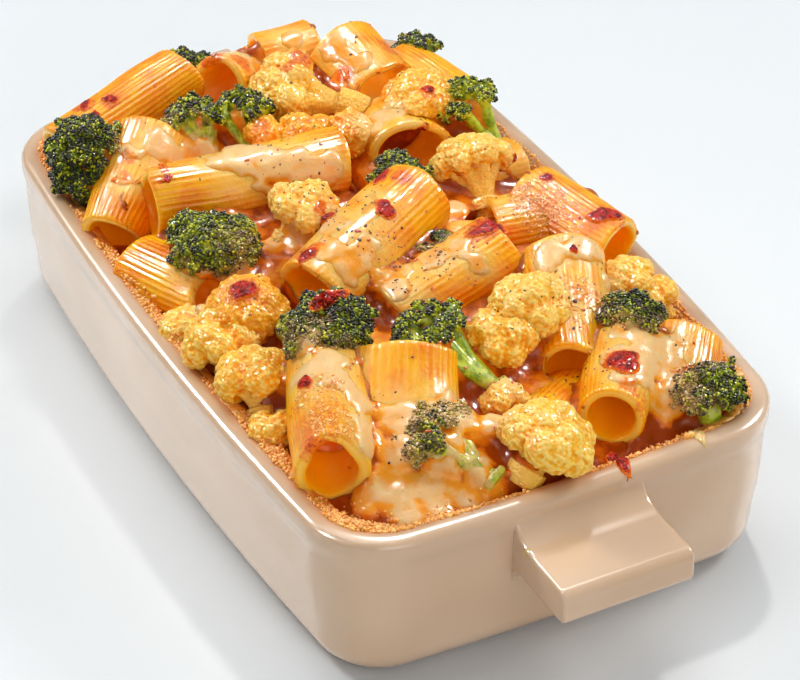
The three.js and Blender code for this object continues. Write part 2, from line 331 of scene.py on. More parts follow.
def stacked(rings: np.ndarray, ends: tuple[np.ndarray, np.ndarray]) -> Shape:
    """A closed shape over a stack of rings, each end drawn in to one point.

    Args:
        rings: The rings' points, by ring, by place round it and by axis.
        ends: The points that close the first and the last ring.

    Returns:
        The shape as triangles.
    """
    count, around = rings.shape[:2]
    i = np.arange(around)
    j = (i + 1) % around
    levels = around * np.arange(count - 1)
    faces = [np.stack([low + i, low + j, low + around + j], 1) for low in levels]
    faces += [np.stack([low + i, low + around + j, low + around + i], 1) for low in levels]
    tip, top = count * around, (count - 1) * around
    faces.append(np.stack([np.full(around, tip), j, i], 1))
    faces.append(np.stack([np.full(around, tip + 1), top + i, top + j], 1))
    return Shape(np.concatenate([rings.reshape(-1, 3), ends]), np.concatenate(faces))


def limb(path: np.ndarray, radii: list[float]) -> Shape:
    """A closed round bar along a path, such as a stem.

    Args:
        path: The middle's places, one in each row.
        radii: The radius at each place.

    Returns:
        The bar as triangles.
    """
    sides = 10
    turns = np.linspace(0, 2 * math.pi, sides, endpoint=False)
    axes = basis(path[-1] - path[0])
    circle = np.outer(np.cos(turns), axes[:, 0]) + np.outer(np.sin(turns), axes[:, 1])
    rings = np.array([spot + radius * circle for spot, radius in zip(path, radii)])
    return stacked(rings, (path[0], path[-1]))


def sprinkled(template: Shape, places: np.ndarray, sizes: np.ndarray, turns: np.ndarray) -> Shape:
    """Copies of a small shape, each with its own size and turn, as one shape.

    Args:
        template: The small shape, about its own middle.
        places: Where the copies go, one in each row.
        sizes: Three half sizes for each copy.
        turns: A rotation matrix for each copy.

    Returns:
        All copies as one shape.
    """
    grown = template.points[None] * sizes[:, None, :]
    points = np.einsum("nij,nvj->nvi", turns, grown) + places[:, None]
    shift = np.arange(len(places))[:, None, None] * len(template.points)
    faces = (template.faces[None] + shift).reshape(-1, template.faces.shape[1])
    return Shape(points.reshape(-1, 3), faces)


def any_turns(count: int, seed: int) -> np.ndarray:
    """Random rotation matrices."""
    w, x, y, z = np.random.default_rng(seed).normal(size=(4, count))
    length = np.sqrt(w * w + x * x + y * y + z * z)
    w, x, y, z = w / length, x / length, y / length, z / length
    rows = [[1 - 2 * (y * y + z * z), 2 * (x * y - z * w), 2 * (x * z + y * w)],
            [2 * (x * y + z * w), 1 - 2 * (x * x + z * z), 2 * (y * z - x * w)],
            [2 * (x * z - y * w), 2 * (y * z + x * w), 1 - 2 * (x * x + y * y)]]
    return np.array(rows).transpose(2, 0, 1)


def over_a_ball(count: int) -> np.ndarray:
    """Directions spread evenly over a ball."""
    steps = np.arange(count) + 0.5
    down = np.arccos(1 - 2 * steps / count)
    turn = math.pi * (1 + math.sqrt(5)) * steps
    return np.stack([np.cos(turn) * np.sin(down), np.sin(turn) * np.sin(down), np.cos(down)], 1)


# ------------------------------------------------------------------ finishes


class Slot(Enum):
    """The record's material slots."""

    STONEWARE = "stoneware"
    PASTA = "pasta"
    SAUCE = "sauce"
    BROCCOLI = "broccoli"
    CAULIFLOWER = "cauliflower"


@dataclass
class Recipe:
    """A material's nodes while they are put together."""

    name: str
    material: bpy.types.Material = field(init=False)

    def __post_init__(self) -> None:
        """Starts the material with its shader and the object's coordinates."""
        self.material = bpy.data.materials.new(self.name)
        self.material.use_nodes = True
        self.shader = self.material.node_tree.nodes["Principled BSDF"]
        self.place = self.add("ShaderNodeTexCoord").outputs["Object"]

    def add(self, kind: str, **settings: object) -> bpy.types.Node:
        """Adds a node with its settings."""
        node = self.material.node_tree.nodes.new(kind)
        for name, value in settings.items():
            setattr(node, name, value)
        return node

    def put(self, socket: bpy.types.NodeSocket, value: object) -> None:
        """Sets an input to a value, or links it to another node's output."""
        if isinstance(value, bpy.types.NodeSocket):
            self.material.node_tree.links.new(value, socket)
        elif isinstance(value, tuple) and len(value) == 3 and socket.type == "RGBA":
            socket.default_value = (*value, 1.0)
        else:
            socket.default_value = value

    def set(self, **inputs: object) -> None:
        """Sets the shader's inputs, with _ for the spaces in their names."""
        sockets = {socket.name.lower().replace(" ", "_"): socket for socket in self.shader.inputs}
        for name, value in inputs.items():
            self.put(sockets[name], value)

    def kept(self, name: str) -> bpy.types.NodeSocket:
        """A number that the mesh keeps for each of its points."""
        return self.add("ShaderNodeAttribute", attribute_name=name).outputs["Fac"]

    def cloud(self, size: float, detail: float = 3.0) -> bpy.types.NodeSocket:
        """Soft noise with features of a size in millimetres."""
        node = self.add("ShaderNodeTexNoise")
        self.put(node.inputs["Vector"], self.place)
        node.inputs["Scale"].default_value = 1 / (size * MM)
        node.inputs["Detail"].default_value = detail
        node.inputs["Roughness"].default_value = 0.55
        return node.outputs["Fac"]

    def cells(self, size: float) -> bpy.types.NodeSocket:
        """Cell noise with cells of a size in millimetres."""
        node = self.add("ShaderNodeTexVoronoi")
        self.put(node.inputs["Vector"], self.place)
        node.inputs["Scale"].default_value = 1 / (size * MM)
        return node.outputs["Distance"]

    def span(self, value: object, low: float, high: float,
             to_low: float = 0.0, to_high: float = 1.0) -> bpy.types.NodeSocket:
        """Maps a range of values smoothly to another."""
        node = self.add("ShaderNodeMapRange", interpolation_type="SMOOTHSTEP")
        for name, number in (("Value", value), ("From Min", low), ("From Max", high),
                             ("To Min", to_low), ("To Max", to_high)):
            self.put(node.inputs[name], number)
        return node.outputs["Result"]

    def sum(self, operation: str, first: object, second: object) -> bpy.types.NodeSocket:
        """One step of arithmetic, kept between 0 and 1."""
        node = self.add("ShaderNodeMath", operation=operation, use_clamp=True)
        self.put(node.inputs[0], first)
        self.put(node.inputs[1], second)
        return node.outputs[0]

    def blend(self, share: object, first: object, second: object) -> bpy.types.NodeSocket:
        """A mix of two colours."""
        node = self.add("ShaderNodeMix", data_type="RGBA")
        self.put(node.inputs["Factor"], share)
        self.put(node.inputs[6], first)
        self.put(node.inputs[7], second)
        return node.outputs[2]

    def bump(self, height: object, depth: float, below: object = None) -> bpy.types.NodeSocket:
        """Fine relief of a depth in millimetres."""
        node = self.add("ShaderNodeBump")
        node.inputs["Strength"].default_value = 1.0
        node.inputs["Distance"].default_value = depth * MM
        self.put(node.inputs["Height"], height)
        if below is not None:
            self.put(node.inputs["Normal"], below)
        return node.outputs["Normal"]


@dataclass(frozen=True)
class Toast:
    """Browning, from a golden edge to the dark red of a blister."""

    golden: Colour = srgb(232, 128, 30)
    red: Colour = srgb(190, 66, 0)
    black: Colour = srgb(96, 12, 0)

    def over(self, recipe: Recipe, colour: object) -> bpy.types.NodeSocket:
        """Browns a colour where the mesh says so.

        Args:
            recipe: The material.
            colour: Its colour without browning.

        Returns:
            The browned colour.
        """
        wander = recipe.span(recipe.cloud(1.3, 4.0), 0.3, 0.7, -0.16, 0.16)
        heat = recipe.sum("ADD", recipe.kept("toast"), wander)
        colour = recipe.blend(recipe.span(heat, 0.14, 0.5), colour, self.golden)
        colour = recipe.blend(recipe.span(heat, 0.5, 0.72), colour, self.red)
        return recipe.blend(recipe.span(heat, 0.85, 1.05), colour, self.black)


@dataclass(frozen=True)
class PastaFinish:
    """Boiled and baked pasta, translucent, wet with a thin film of sauce, with painted light in its bores."""

    deep: Colour = srgb(238, 144, 4)
    golden: Colour = srgb(250, 178, 12)
    pale: Colour = srgb(254, 198, 44)
    cut: Colour = srgb(255, 202, 92)
    # inside is brighter than the pasta itself and glow gives the bore faint light of its own: painted light
    # standing in for light through the walls.
    inside: Colour = srgb(255, 180, 16)
    film: Colour = srgb(246, 204, 116)
    glow: Colour = srgb(250, 160, 10)

    def make(self) -> bpy.types.Material:
        """Makes the material."""
        recipe = Recipe("pasta")
        colour = recipe.blend(recipe.span(recipe.cloud(9), 0.35, 0.65), self.deep, self.golden)
        # Paler along the ridges' crests: partly the sauce film, partly a painted highlight on the ridges.
        streak = recipe.sum("MULTIPLY", recipe.span(recipe.kept("crest"), 0.2, 1.0, 0.0, 0.45),
                            recipe.span(recipe.cloud(5.0, 4.0), 0.38, 0.66))
        colour = recipe.blend(streak, colour, self.pale)
        within = recipe.kept("inside")
        colour = recipe.blend(recipe.span(within, 0.6, 0.95), colour, self.inside)
        lip = recipe.sum("MULTIPLY", recipe.span(within, 0.1, 0.4), recipe.span(within, 0.98, 0.7))
        colour = recipe.blend(lip, colour, self.cut)
        patches = recipe.span(recipe.cloud(4.0, 4.0), 0.25, 0.6, 0.6, 1.0)
        film = recipe.sum("MULTIPLY", recipe.kept("film"), patches)
        colour = recipe.blend(film, colour, self.film)
        colour = Toast().over(recipe, colour)
        # Painted glow: the bore gives off faint light, for light coming through the walls.
        glow = recipe.blend(recipe.span(within, 0.7, 1.0), (0.0, 0.0, 0.0), self.glow)
        recipe.set(base_color=colour, roughness=0.36, specular_ior_level=0.15, subsurface_weight=0.75,
                   subsurface_radius=(1.0, 0.64, 0.16), subsurface_scale=0.003,
                   coat_weight=0.55, coat_roughness=0.05, ior=1.4,
                   emission_color=glow, emission_strength=0.08,
                   normal=recipe.bump(recipe.cloud(1.0, 5.0), 0.2),
                   coat_normal=recipe.bump(recipe.cloud(0.9, 3.0), 0.1))
        return recipe.material


@dataclass(frozen=True)
class SauceFinish:
    """White sauce that has set in the oven, creamy where thick, golden where thin, and orange to dark brown
    low down and in hollows, which is painted shade with some browned juice.
    """

    cream: Colour = srgb(236, 196, 138)
    golden: Colour = srgb(242, 164, 42)
    low: Colour = srgb(222, 122, 10)
    gap: Colour = srgb(166, 74, 6)
    within: Colour = srgb(250, 148, 12)

    def make(self) -> bpy.types.Material:
        """Makes the material."""
        recipe = Recipe("sauce")
        wander = recipe.span(recipe.cloud(5.0, 5.0), 0.3, 0.7, -0.16, 0.16)
        body = recipe.sum("ADD", recipe.kept("cream"), wander)
        colour = recipe.blend(recipe.span(body, 0.6, 1.05), self.golden, self.cream)
        # Orange low down and dark brown in the gaps: painted shade, with some browned juice pooled there.
        colour = recipe.blend(recipe.span(body, 0.2, 0.55), self.low, colour)
        colour = recipe.blend(recipe.span(body, -0.05, 0.25), self.gap, colour)
        # Orange where the sauce lies inside a tube: painted light coming through the pasta's walls.
        colour = recipe.blend(recipe.kept("within"), colour, self.within)
        colour = Toast().over(recipe, colour)
        wrinkles = recipe.sum("ADD", recipe.cloud(0.9, 4.0), recipe.cloud(2.6, 4.0))
        recipe.set(base_color=colour, roughness=0.34, specular_ior_level=0.15, subsurface_weight=0.6,
                   subsurface_radius=(1.0, 0.6, 0.25), subsurface_scale=0.0028,
                   coat_weight=0.45, coat_roughness=0.06, ior=1.4,
                   normal=recipe.bump(wrinkles, 0.2),
                   coat_normal=recipe.bump(recipe.cloud(0.9, 3.0), 0.08))
        return recipe.material


@dataclass(frozen=True)
class BroccoliFinish:
    """Roasted broccoli: yellow-green stems and buds from almost black to yellow-green."""

    stem: Colour = srgb(128, 152, 10)
    pale: Colour = srgb(196, 208, 60)
    char: Colour = srgb(38, 22, 14)
    dark: Colour = srgb(44, 50, 10)
    green: Colour = srgb(116, 132, 12)
    bright: Colour = srgb(206, 204, 44)
    film: Colour = srgb(230, 188, 130)

    def make(self) -> bpy.types.Material:
        """Makes the material."""
        recipe = Recipe("broccoli")
        shade = recipe.kept("shade")
        stem = recipe.blend(recipe.span(recipe.cloud(2.5, 4.0), 0.38, 0.62), self.stem, self.pale)
        buds = recipe.blend(recipe.span(shade, 0.0, 0.3), self.char, self.dark)
        buds = recipe.blend(recipe.span(shade, 0.35, 0.65), buds, self.green)
        buds = recipe.blend(recipe.span(shade, 0.65, 0.95), buds, self.bright)
        colour = recipe.blend(recipe.span(recipe.kept("bud"), 0.3, 0.7), stem, buds)
        patches = recipe.span(recipe.cloud(2.2, 4.0), 0.38, 0.52)
        film = recipe.sum("MULTIPLY", recipe.kept("film"), patches)
        colour = recipe.blend(film, colour, self.film)
        colour = Toast().over(recipe, colour)
        recipe.set(base_color=colour, roughness=0.42, specular_ior_level=0.25, subsurface_weight=0.15,
                   subsurface_radius=(0.6, 1.0, 0.2), subsurface_scale=0.0012,
                   coat_weight=0.5, coat_roughness=0.1, ior=1.45,
                   normal=recipe.bump(recipe.cloud(0.5, 3.0), 0.12))
        return recipe.material


@dataclass(frozen=True)
class CauliflowerFinish:
    """Baked cauliflower: golden curd and pale stems, gold in its hollows as painted shade and cream on its
    crests as a painted highlight.
    """

    curd: Colour = srgb(255, 196, 58)
    golden: Colour = srgb(242, 152, 2)
    stem: Colour = srgb(250, 200, 92)
    cream: Colour = srgb(255, 211, 112)
    film: Colour = srgb(250, 204, 130)

    def make(self) -> bpy.types.Material:
        """Makes the material."""
        recipe = Recipe("cauliflower")
        kept = recipe.kept("warm")
        warm = recipe.sum("ADD", recipe.span(recipe.cloud(7.0, 4.0), 0.42, 0.75, 0.0, 0.55), kept)
        # Cream on the crests is a painted highlight and gold in the hollows a painted shade, over each
        # floret's own tone.
        curd = recipe.blend(recipe.span(kept, 0.16, -0.02), self.curd, self.cream)
        colour = recipe.blend(warm, curd, self.golden)
        colour = recipe.blend(recipe.span(recipe.kept("curd"), 0.65, 0.25), colour, self.stem)
        colour = recipe.blend(recipe.kept("film"), colour, self.film)
        colour = Toast().over(recipe, colour)
        recipe.set(base_color=colour, roughness=0.5, specular_ior_level=0.2, subsurface_weight=0.5,
                   subsurface_radius=(1.0, 0.6, 0.2), subsurface_scale=0.002,
                   coat_weight=0.3, coat_roughness=0.12, ior=1.4,
                   normal=recipe.bump(recipe.cells(1.0), -0.4, recipe.bump(recipe.cloud(0.6, 3.0), 0.12)))
        return recipe.material


@dataclass(frozen=True)
class GlazeFinish:
    """Thick cream glaze over stoneware, with a warm brown band inside the rim that is partly baked-on tint
    and partly a painted reflection of the food.
    """

    cream: Colour = srgb(222, 193, 166)
    shade: Colour = srgb(210, 179, 149)
    # baked tints the band inside the rim: partly baked-on food, partly a painted reflection of the food.
    baked: Colour = srgb(204, 138, 92)

    def make(self) -> bpy.types.Material:
        """Makes the material."""
        recipe = Recipe("stoneware")
        colour = recipe.blend(recipe.span(recipe.cloud(60, 1.0), 0.35, 0.65), self.cream, self.shade)
        patches = recipe.span(recipe.cloud(14.0, 4.0), 0.3, 0.7, 0.35, 0.8)
        baked = recipe.sum("MULTIPLY", recipe.kept("baked"), patches)
        colour = recipe.blend(baked, colour, self.baked)
        recipe.set(base_color=colour, roughness=0.22, subsurface_weight=0.08,
                   subsurface_radius=(1.0, 0.8, 0.6), subsurface_scale=0.002,
                   coat_weight=0.6, coat_roughness=0.08, ior=1.45,
                   normal=recipe.bump(recipe.cloud(26, 1.0), 0.16))
        return recipe.material


@dataclass(frozen=True)
class GrainFinish:
    """Crumbs, pepper or herbs: one colour to another, from grain to grain."""

    name: str
    first: Colour
    second: Colour
    roughness: float = 0.55

    def make(self) -> bpy.types.Material:
        """Makes the material."""
        recipe = Recipe(self.name)
        colour = recipe.blend(recipe.kept("shade"), self.first, self.second)
        recipe.set(base_color=colour, roughness=self.roughness, subsurface_weight=0.1,
                   subsurface_radius=(1.0, 0.5, 0.2), subsurface_scale=0.001,
                   normal=recipe.bump(recipe.cloud(0.5, 2.0), 0.05))
        return recipe.material


@dataclass(frozen=True)
class BlisterFinish:
    """Sauce burnt to a dark red bubble."""

    red: Colour = srgb(204, 40, 4)
    orange: Colour = srgb(244, 128, 16)
    black: Colour = srgb(122, 12, 2)

    def make(self) -> bpy.types.Material:
        """Makes the material."""
        recipe = Recipe("blister")
        colour = recipe.blend(recipe.span(recipe.cloud(1.6, 4.0), 0.42, 0.6), self.red, self.black)
        colour = recipe.blend(recipe.span(recipe.kept("edge"), 0.72, 0.98), colour, self.orange)
        recipe.set(base_color=colour, roughness=0.5, specular_ior_level=0.1,
                   coat_weight=0.25, coat_roughness=0.05,
                   normal=recipe.bump(recipe.cells(0.8), -0.5))
        return recipe.material


# ------------------------------------------------------------------ dish


@dataclass
class Dish:
    """The glazed stoneware dish with its slab handles."""

    half_length: float = 113.0
    half_width: float = 68.5
    bow_end: float = 1.3
    bow_side: float = 3.5
    corner: float = 22.5
    height: float = RIM
    lip: float = 7.5
    foot_inset: float = 3.2
    foot_round: float = 9.0
    floor: float = 6.5
    inner_lean: float = 3.5
    cove: float = 9.0
    handle_width: float = 38.5
    handle_reach: float = 27.0
    handle_top: float = 39.5
    handle_thickness: float = 10.5
    handle_edge: float = 1.8

    def outline(self, steps: int = 16) -> tuple[np.ndarray, np.ndarray]:
        """The rim's outer edge in plan.

        Args:
            steps: Number of points on each side and each corner.

        Returns:
            The points and their outward normals, going round from the first end's middle.
        """
        x, y, r = self.half_length, self.half_width, self.corner
        side = np.linspace(-1, 1, 2 * steps, endpoint=False)
        turn = np.linspace(0, math.pi / 2, steps, endpoint=False)
        end_bow, side_bow = self.bow_end * (1 - side ** 2), self.bow_side * (1 - side ** 2)
        points = np.concatenate([
            np.stack([x + end_bow, side * (y - r)], 1),
            np.stack([x - r + r * np.cos(turn), y - r + r * np.sin(turn)], 1),
            np.stack([-side * (x - r), y + side_bow], 1),
            np.stack([-(x - r) - r * np.sin(turn), y - r + r * np.cos(turn)], 1),
            np.stack([-x - end_bow, -side * (y - r)], 1),
            np.stack([-(x - r) - r * np.cos(turn), -(y - r) - r * np.sin(turn)], 1),
            np.stack([side * (x - r), -y - side_bow], 1),
            np.stack([x - r + r * np.sin(turn), -(y - r) - r * np.cos(turn)], 1),
        ])
        run = np.roll(points, -1, 0) - np.roll(points, 1, 0)
        normals = np.stack([run[:, 1], -run[:, 0]], 1)
        return points, normals / np.linalg.norm(normals, axis=1)[:, None]

    def inset_ring(self, inset: float, level: float) -> np.ndarray:
        """A ring parallel to the rim's outer edge, shrunk to the middle past the corners."""
        points, normals = self.outline()
        last = self.corner - 2.5
        offset = min(inset, last)
        shrink = 1 - (inset - offset) / (self.half_width - last)
        ring = (points - normals * offset) * shrink
        return np.column_stack([ring, np.full(len(ring), level)])

    def profile(self) -> list[tuple[float, float]]:
        """Insets and levels over the wall, from the foot over the lip to the floor."""
        h, lip, foot, r = self.height, self.lip, self.foot_inset, self.foot_round
        inner = lip + self.inner_lean
        down = [(foot + r * (1 - math.sin(a)) - 0.4 * (1 - math.cos(a)), r * (1 - math.cos(a)))
                for a in np.linspace(0.25, math.pi / 2, 7)]
        wall = [(foot - 0.7, 14.0), (1.6, 20.0), (1.15, 26.0), (0.98, 31.0), (0.9, h - 12.0),
                (0.8, h - 9.6), (0.62, h - 8.2), (0.4, h - 7.1), (0.2, h - 6.2), (0.07, h - 5.3),
                (0.0, h - 4.4)]
        over = [(lip / 2 * (1 - math.cos(a)), h - 2.6 + 2.6 * math.sin(a) ** 0.8)
                for a in np.linspace(0.12, math.pi - 0.12, 13)]
        inside = [(lip + 0.1, h - 4.4), (lip + 0.8, h - 12), (inner - 0.4, 22.0), (inner, 18.0)]
        cove = [(inner + self.cove * (1 - math.cos(a)), self.floor + self.cove * (1 - math.sin(a)))
                for a in np.linspace(0.2, math.pi / 2, 6)]
        floor = [(inner + 22, self.floor), (self.half_width - 14, self.floor)]
        base = [(self.half_width - 12, 0.0), (foot + r + 16, 0.0), (foot + r + 1.0, 0.0)]
        return base + down + wall + over + inside + cove + floor

    def wall(self) -> bpy.types.Object:
        """The dish without handles, as rings drawn up from the foot and closed at both ends."""
        rings = [self.inset_ring(inset, level) for inset, level in self.profile()]
        around, count = len(rings[0]), len(rings)
        points = np.concatenate(rings + [[[0, 0, rings[0][0, 2]]], [[0, 0, rings[-1][0, 2]]]])
        foot, floor, top = count * around, count * around + 1, (count - 1) * around
        steps = [(i, (i + 1) % around) for i in range(around)]
        faces = [(low + i, low + j, low + around + j, low + around + i)
                 for low in range(0, top, around) for i, j in steps]
        faces += [(foot, j, i) for i, j in steps]
        faces += [(floor, top + i, top + j) for i, j in steps]
        piece = from_lists("dish_wall", points.tolist(), faces)
        face_outwards(piece)
        return piece

    def handle(self, side: int) -> bpy.types.Object:
        """One slab handle that sweeps up into the wall, with rounded edges.

        Args:
            side: 1 for the end at +X, -1 for the other.

        Returns:
            The handle, reaching into the wall.
        """
        wall, top = self.half_length + self.bow_end, self.handle_top
        tip, low, round_off = self.half_length + self.handle_reach, top - self.handle_thickness, 3.0
        quarter = np.linspace(0, math.pi / 2, 7)
        nose = [(tip - round_off + round_off * math.sin(a), low + round_off - round_off * math.cos(a))
                for a in quarter]
        nose += [(tip - round_off + round_off * math.cos(a), top - round_off + round_off * math.sin(a))
                 for a in quarter]
        sweep = [(wall + 9.5 * (1 - math.sin(a)) - 0.4, top + 6.0 * (1 - math.cos(a)))
                 for a in np.linspace(0, math.pi / 2, 10)]
        root = [(wall - 5.0, top + 6.0), (wall - 5.0, low - 5.0), (wall - 1.0, low - 5.0)]
        under = [(wall + 5.0 * (1 - math.cos(a)) - 1.0, low - 5.0 * (1 - math.sin(a))) for a in quarter[1:]]
        section = [[side * x, -self.handle_width / 2, z] for x, z in root + under + nose + sweep]
        piece = from_lists("handle", section, [tuple(range(len(section)))])
        activate(piece)
        bpy.ops.object.mode_set(mode="EDIT")
        bpy.ops.mesh.select_all(action="SELECT")
        bpy.ops.mesh.extrude_region_move(TRANSFORM_OT_translate={"value": (0, MM * self.handle_width, 0)})
        bpy.ops.object.mode_set(mode="OBJECT")
        face_outwards(piece)
        modify(piece, "BEVEL", width=self.handle_edge * MM, segments=4, limit_method="ANGLE",
               angle_limit=math.radians(60))
        return piece

    def build(self, finish: bpy.types.Material) -> bpy.types.Object:
        """Joins wall and handles to one glazed piece in place of the solid dish."""
        piece = self.wall()
        for side in (1, -1):
            handle = self.handle(side)
            modify(piece, "BOOLEAN", operation="UNION", solver="MANIFOLD", object=handle)
            bpy.data.objects.remove(handle)
        piece.name = piece.data.name = "dish_glazed"
        face_outwards(piece)
        smooth_shade(piece, 40)
        modify(piece, "WEIGHTED_NORMAL", keep_sharp=True, weight=80)
        places = points_of(piece)
        edge = self.outline(64)[0]
        inset = np.min([np.linalg.norm(places[:, :2] - point, axis=1) for point in edge], axis=0)
        inside = np.max(np.abs(places[:, :2]) / (self.half_length, self.half_width), axis=1) < 0.995
        # The warm band inside the rim: partly baked-on tint, partly a painted reflection of the food.
        store(piece, "baked", ease((inset - 3.0) / 2.6) * ease((places[:, 2] - RIM + 12) / 4) * inside)
        dress(piece, finish, Slot.STONEWARE, "dish")
        return piece


def dress(piece: bpy.types.Object, finish: bpy.types.Material, slot: Slot, *nodes: str) -> None:
    """Gives a finished piece its material and its place in the model.

    Args:
        piece: The piece.
        finish: Its material.
        slot: The record's material slot that it belongs to; not used.
        *nodes: The solids that it stands for.
    """
    piece.data.materials.clear()
    piece.data.materials.append(finish)
    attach(piece, "root")
    if nodes:
        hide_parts(*nodes)
    LOG.info("%s: %d faces", piece.name, len(piece.data.polygons))


# ------------------------------------------------------------------ pasta


@dataclass(frozen=True)
class Mouth:
    """How one end of a tube is cut, and how it has set in the oven.

    slant is the cut's lean in degrees, and towards is where it reaches furthest, in degrees
    round the tube from its right side over its top. flare widens the mouth, squeeze above 1
    makes it narrower and higher, and drop pulls it to a point at drop_at.
    """

    slant: float = 0.0
    towards: float = 90.0
    flare: float = 1.0
    squeeze: float = 1.0
    drop: float = 0.0
    drop_at: float = 90.0


@dataclass
class Rigatone:
    """One tube of ridged pasta with both mouths open.

    plump is how far the tube has swollen over its width and height, keen sharpens its ridges,
    edge rounds its cut, sag and ragged make its skin and its cut uneven, and set_for is the
    share of its length over which a mouth's own shape fades.
    """

    name: str
    start: Point
    end: Point
    width: float
    height: float
    first: Mouth = Mouth()
    last: Mouth = Mouth()
    plump: float = 1.12
    wall: float = 2.7
    ridges: int = 38
    ridge: float = 0.22
    keen: float = 1.3
    edge: float = 0.55
    sag: float = 0.05
    ragged: float = 0.35
    set_for: float = 0.42
    slot: Slot = Slot.PASTA

    @property
    def run(self) -> np.ndarray:
        """The way from the middle of one mouth to that of the other."""
        return over_rim(self.end) - over_rim(self.start)

    @property
    def length(self) -> float:
        """The tube's length along its middle line."""
        return float(np.linalg.norm(self.run))

    def skin(self, share: np.ndarray, turn: np.ndarray, inset: np.ndarray,
             ridged: np.ndarray) -> np.ndarray:
        """Places on or in the tube's wall.

        Args:
            share: Place along the tube, 0 to 1.
            turn: Angle round it, in radians.
            inset: Depth below the outer skin.
            ridged: 1 on the ridged outer skin, 0 inside.

        Returns:
            One place for each value.
        """
        middle = over_rim(self.start) + self.run * share[:, None]
        across, up, direction = basis(self.run).T
        wide = np.full_like(share, self.plump * self.width / 2)
        high = np.full_like(share, self.plump * self.height / 2)
        swell, shift = np.ones_like(share), np.zeros_like(share)
        for mouth, distance in ((self.first, share), (self.last, 1 - share)):
            near = ease(1 - distance / self.set_for)
            wide = wide * (1 + near * (mouth.flare / math.sqrt(mouth.squeeze) - 1))
            high = high * (1 + near * (mouth.flare * math.sqrt(mouth.squeeze) - 1))
            gap = (turn - math.radians(mouth.drop_at) + math.pi) % (2 * math.pi) - math.pi
            tip = 0.22 * np.exp(-(gap / 0.42) ** 2) - 0.2 * np.exp(-((np.abs(gap) - 0.95) / 0.45) ** 2)
            swell = swell + near * mouth.drop * tip
        sag = 1 + self.sag * ripple(np.column_stack([share * 3, np.cos(turn), np.sin(turn)]), 2.6,
                                    number_of(self.name))
        comb = self.ridge * ((0.5 + 0.5 * np.cos(self.ridges * turn)) ** self.keen - 1) * ridged
        x = (wide * swell * sag + (comb - inset)) * np.cos(turn)
        y = (high * swell * sag + (comb - inset)) * np.sin(turn)
        for mouth, distance, way in ((self.first, share, -1), (self.last, 1 - share, 1)):
            lean = math.radians(mouth.towards)
            fade = np.clip(1 - distance / 0.6, 0, 1)
            shift = shift + way * fade * math.tan(math.radians(mouth.slant)) * (
                x * math.cos(lean) + y * math.sin(lean))
            ragged = ripple(np.column_stack([np.cos(turn), np.sin(turn), share]), 1.1,
                            number_of(self.name) + way)
            shift = shift + self.ragged * fade ** 4 * ragged
        return middle + across * x[:, None] + up * y[:, None] + direction * shift[:, None]

    def build(self) -> bpy.types.Object:
        """Makes the tube, its ridged outside, cut rims and smooth inside, in one closed mesh."""
        outer, inner = max(26, int(self.length / 1.15)), max(12, int(self.length / 2.5))
        soft = self.edge / self.length
        arcs = math.pi * np.array([0.25, 0.5, 0.75])
        lip, depth = soft * (1 - np.sin(arcs)), self.wall / 2 * (1 - np.cos(arcs))
        share = np.concatenate([np.linspace(soft, 1 - soft, outer), 1 - lip,
                                np.linspace(1 - soft, soft, inner), lip])
        inset = np.concatenate([np.zeros(outer), depth, np.full(inner, self.wall), self.wall - depth])
        ridged = np.concatenate([np.ones(outer), [0.7, 0.3, 0.1], np.zeros(inner), [0.1, 0.3, 0.7]])
        around = 5 * self.ridges
        turns = np.linspace(0, 2 * math.pi, around, endpoint=False)
        steps = len(share)
        piece = rolled(self.name + "_ridged", around, steps)
        move_points(piece, self.skin(np.tile(share, around), np.repeat(turns, steps),
                                     np.tile(inset, around), np.tile(ridged, around)))
        face_outwards(piece)
        store(piece, "inside", np.tile(inset / self.wall, around))
        crest = 0.5 + 0.5 * np.cos(self.ridges * np.repeat(turns, steps))
        store(piece, "crest", crest * np.tile(ridged, around))
        return piece

    def room(self) -> bpy.types.Object:
        """The space that the tube fills, its bore too, as a closed object for trimming."""
        return to_object("room", self.plug(0.0, 1.0, -0.25, 32))

    def plug(self, first: float, last: float, margin: float, sides: int = 24) -> Shape:
        """A bar that fills a stretch of the tube up to a margin under its skin."""
        return self.lofted([(share, margin) for share in np.linspace(first, last, 9)], sides)

    def rough(self) -> Shape:
        """The tube as the sauce meets it: its wall round both mouths, and solid between."""
        deep, wall = min(0.45, 17.0 / self.length), self.wall
        mouths = [(deep, wall), (0.0, wall)], [(1.0, wall), (1 - deep, wall)]
        return self.lofted(mouths[0] + [(share, 0.0) for share in (0.0, 0.33, 0.67, 1.0)] + mouths[1], 24)

    def lofted(self, path: list[tuple[float, float]], sides: int) -> Shape:
        """A closed shape over rings round the tube, each at a share of its length and an inset."""
        turns = np.tile(np.linspace(0, 2 * math.pi, sides, endpoint=False), len(path))
        share, inset = np.repeat(np.array(path), sides, axis=0).T
        rings = self.skin(share, turns, inset, np.zeros(len(share))).reshape(len(path), sides, 3)
        return stacked(rings, (rings[0].mean(0), rings[-1].mean(0)))

    def holds(self, places: np.ndarray, margin: float) -> np.ndarray:
        """Whether places lie inside the tube or its bore, by more than a margin."""
        start, run = over_rim(self.start), self.run
        share = (places - start) @ run / (run @ run)
        local = (places - start - run * np.clip(share, 0, 1)[:, None]) @ basis(run)
        wide, high = self.plump * self.width / 2 - margin, self.plump * self.height / 2 - margin
        inside = (local[:, 0] / wide) ** 2 + (local[:, 1] / high) ** 2 < 1
        return inside & (share > 0) & (share < 1)


# ------------------------------------------------------------------ florets


@dataclass
class Knob:
    """One round cluster of a floret's head."""

    middle: np.ndarray
    radius: float
    outwards: np.ndarray


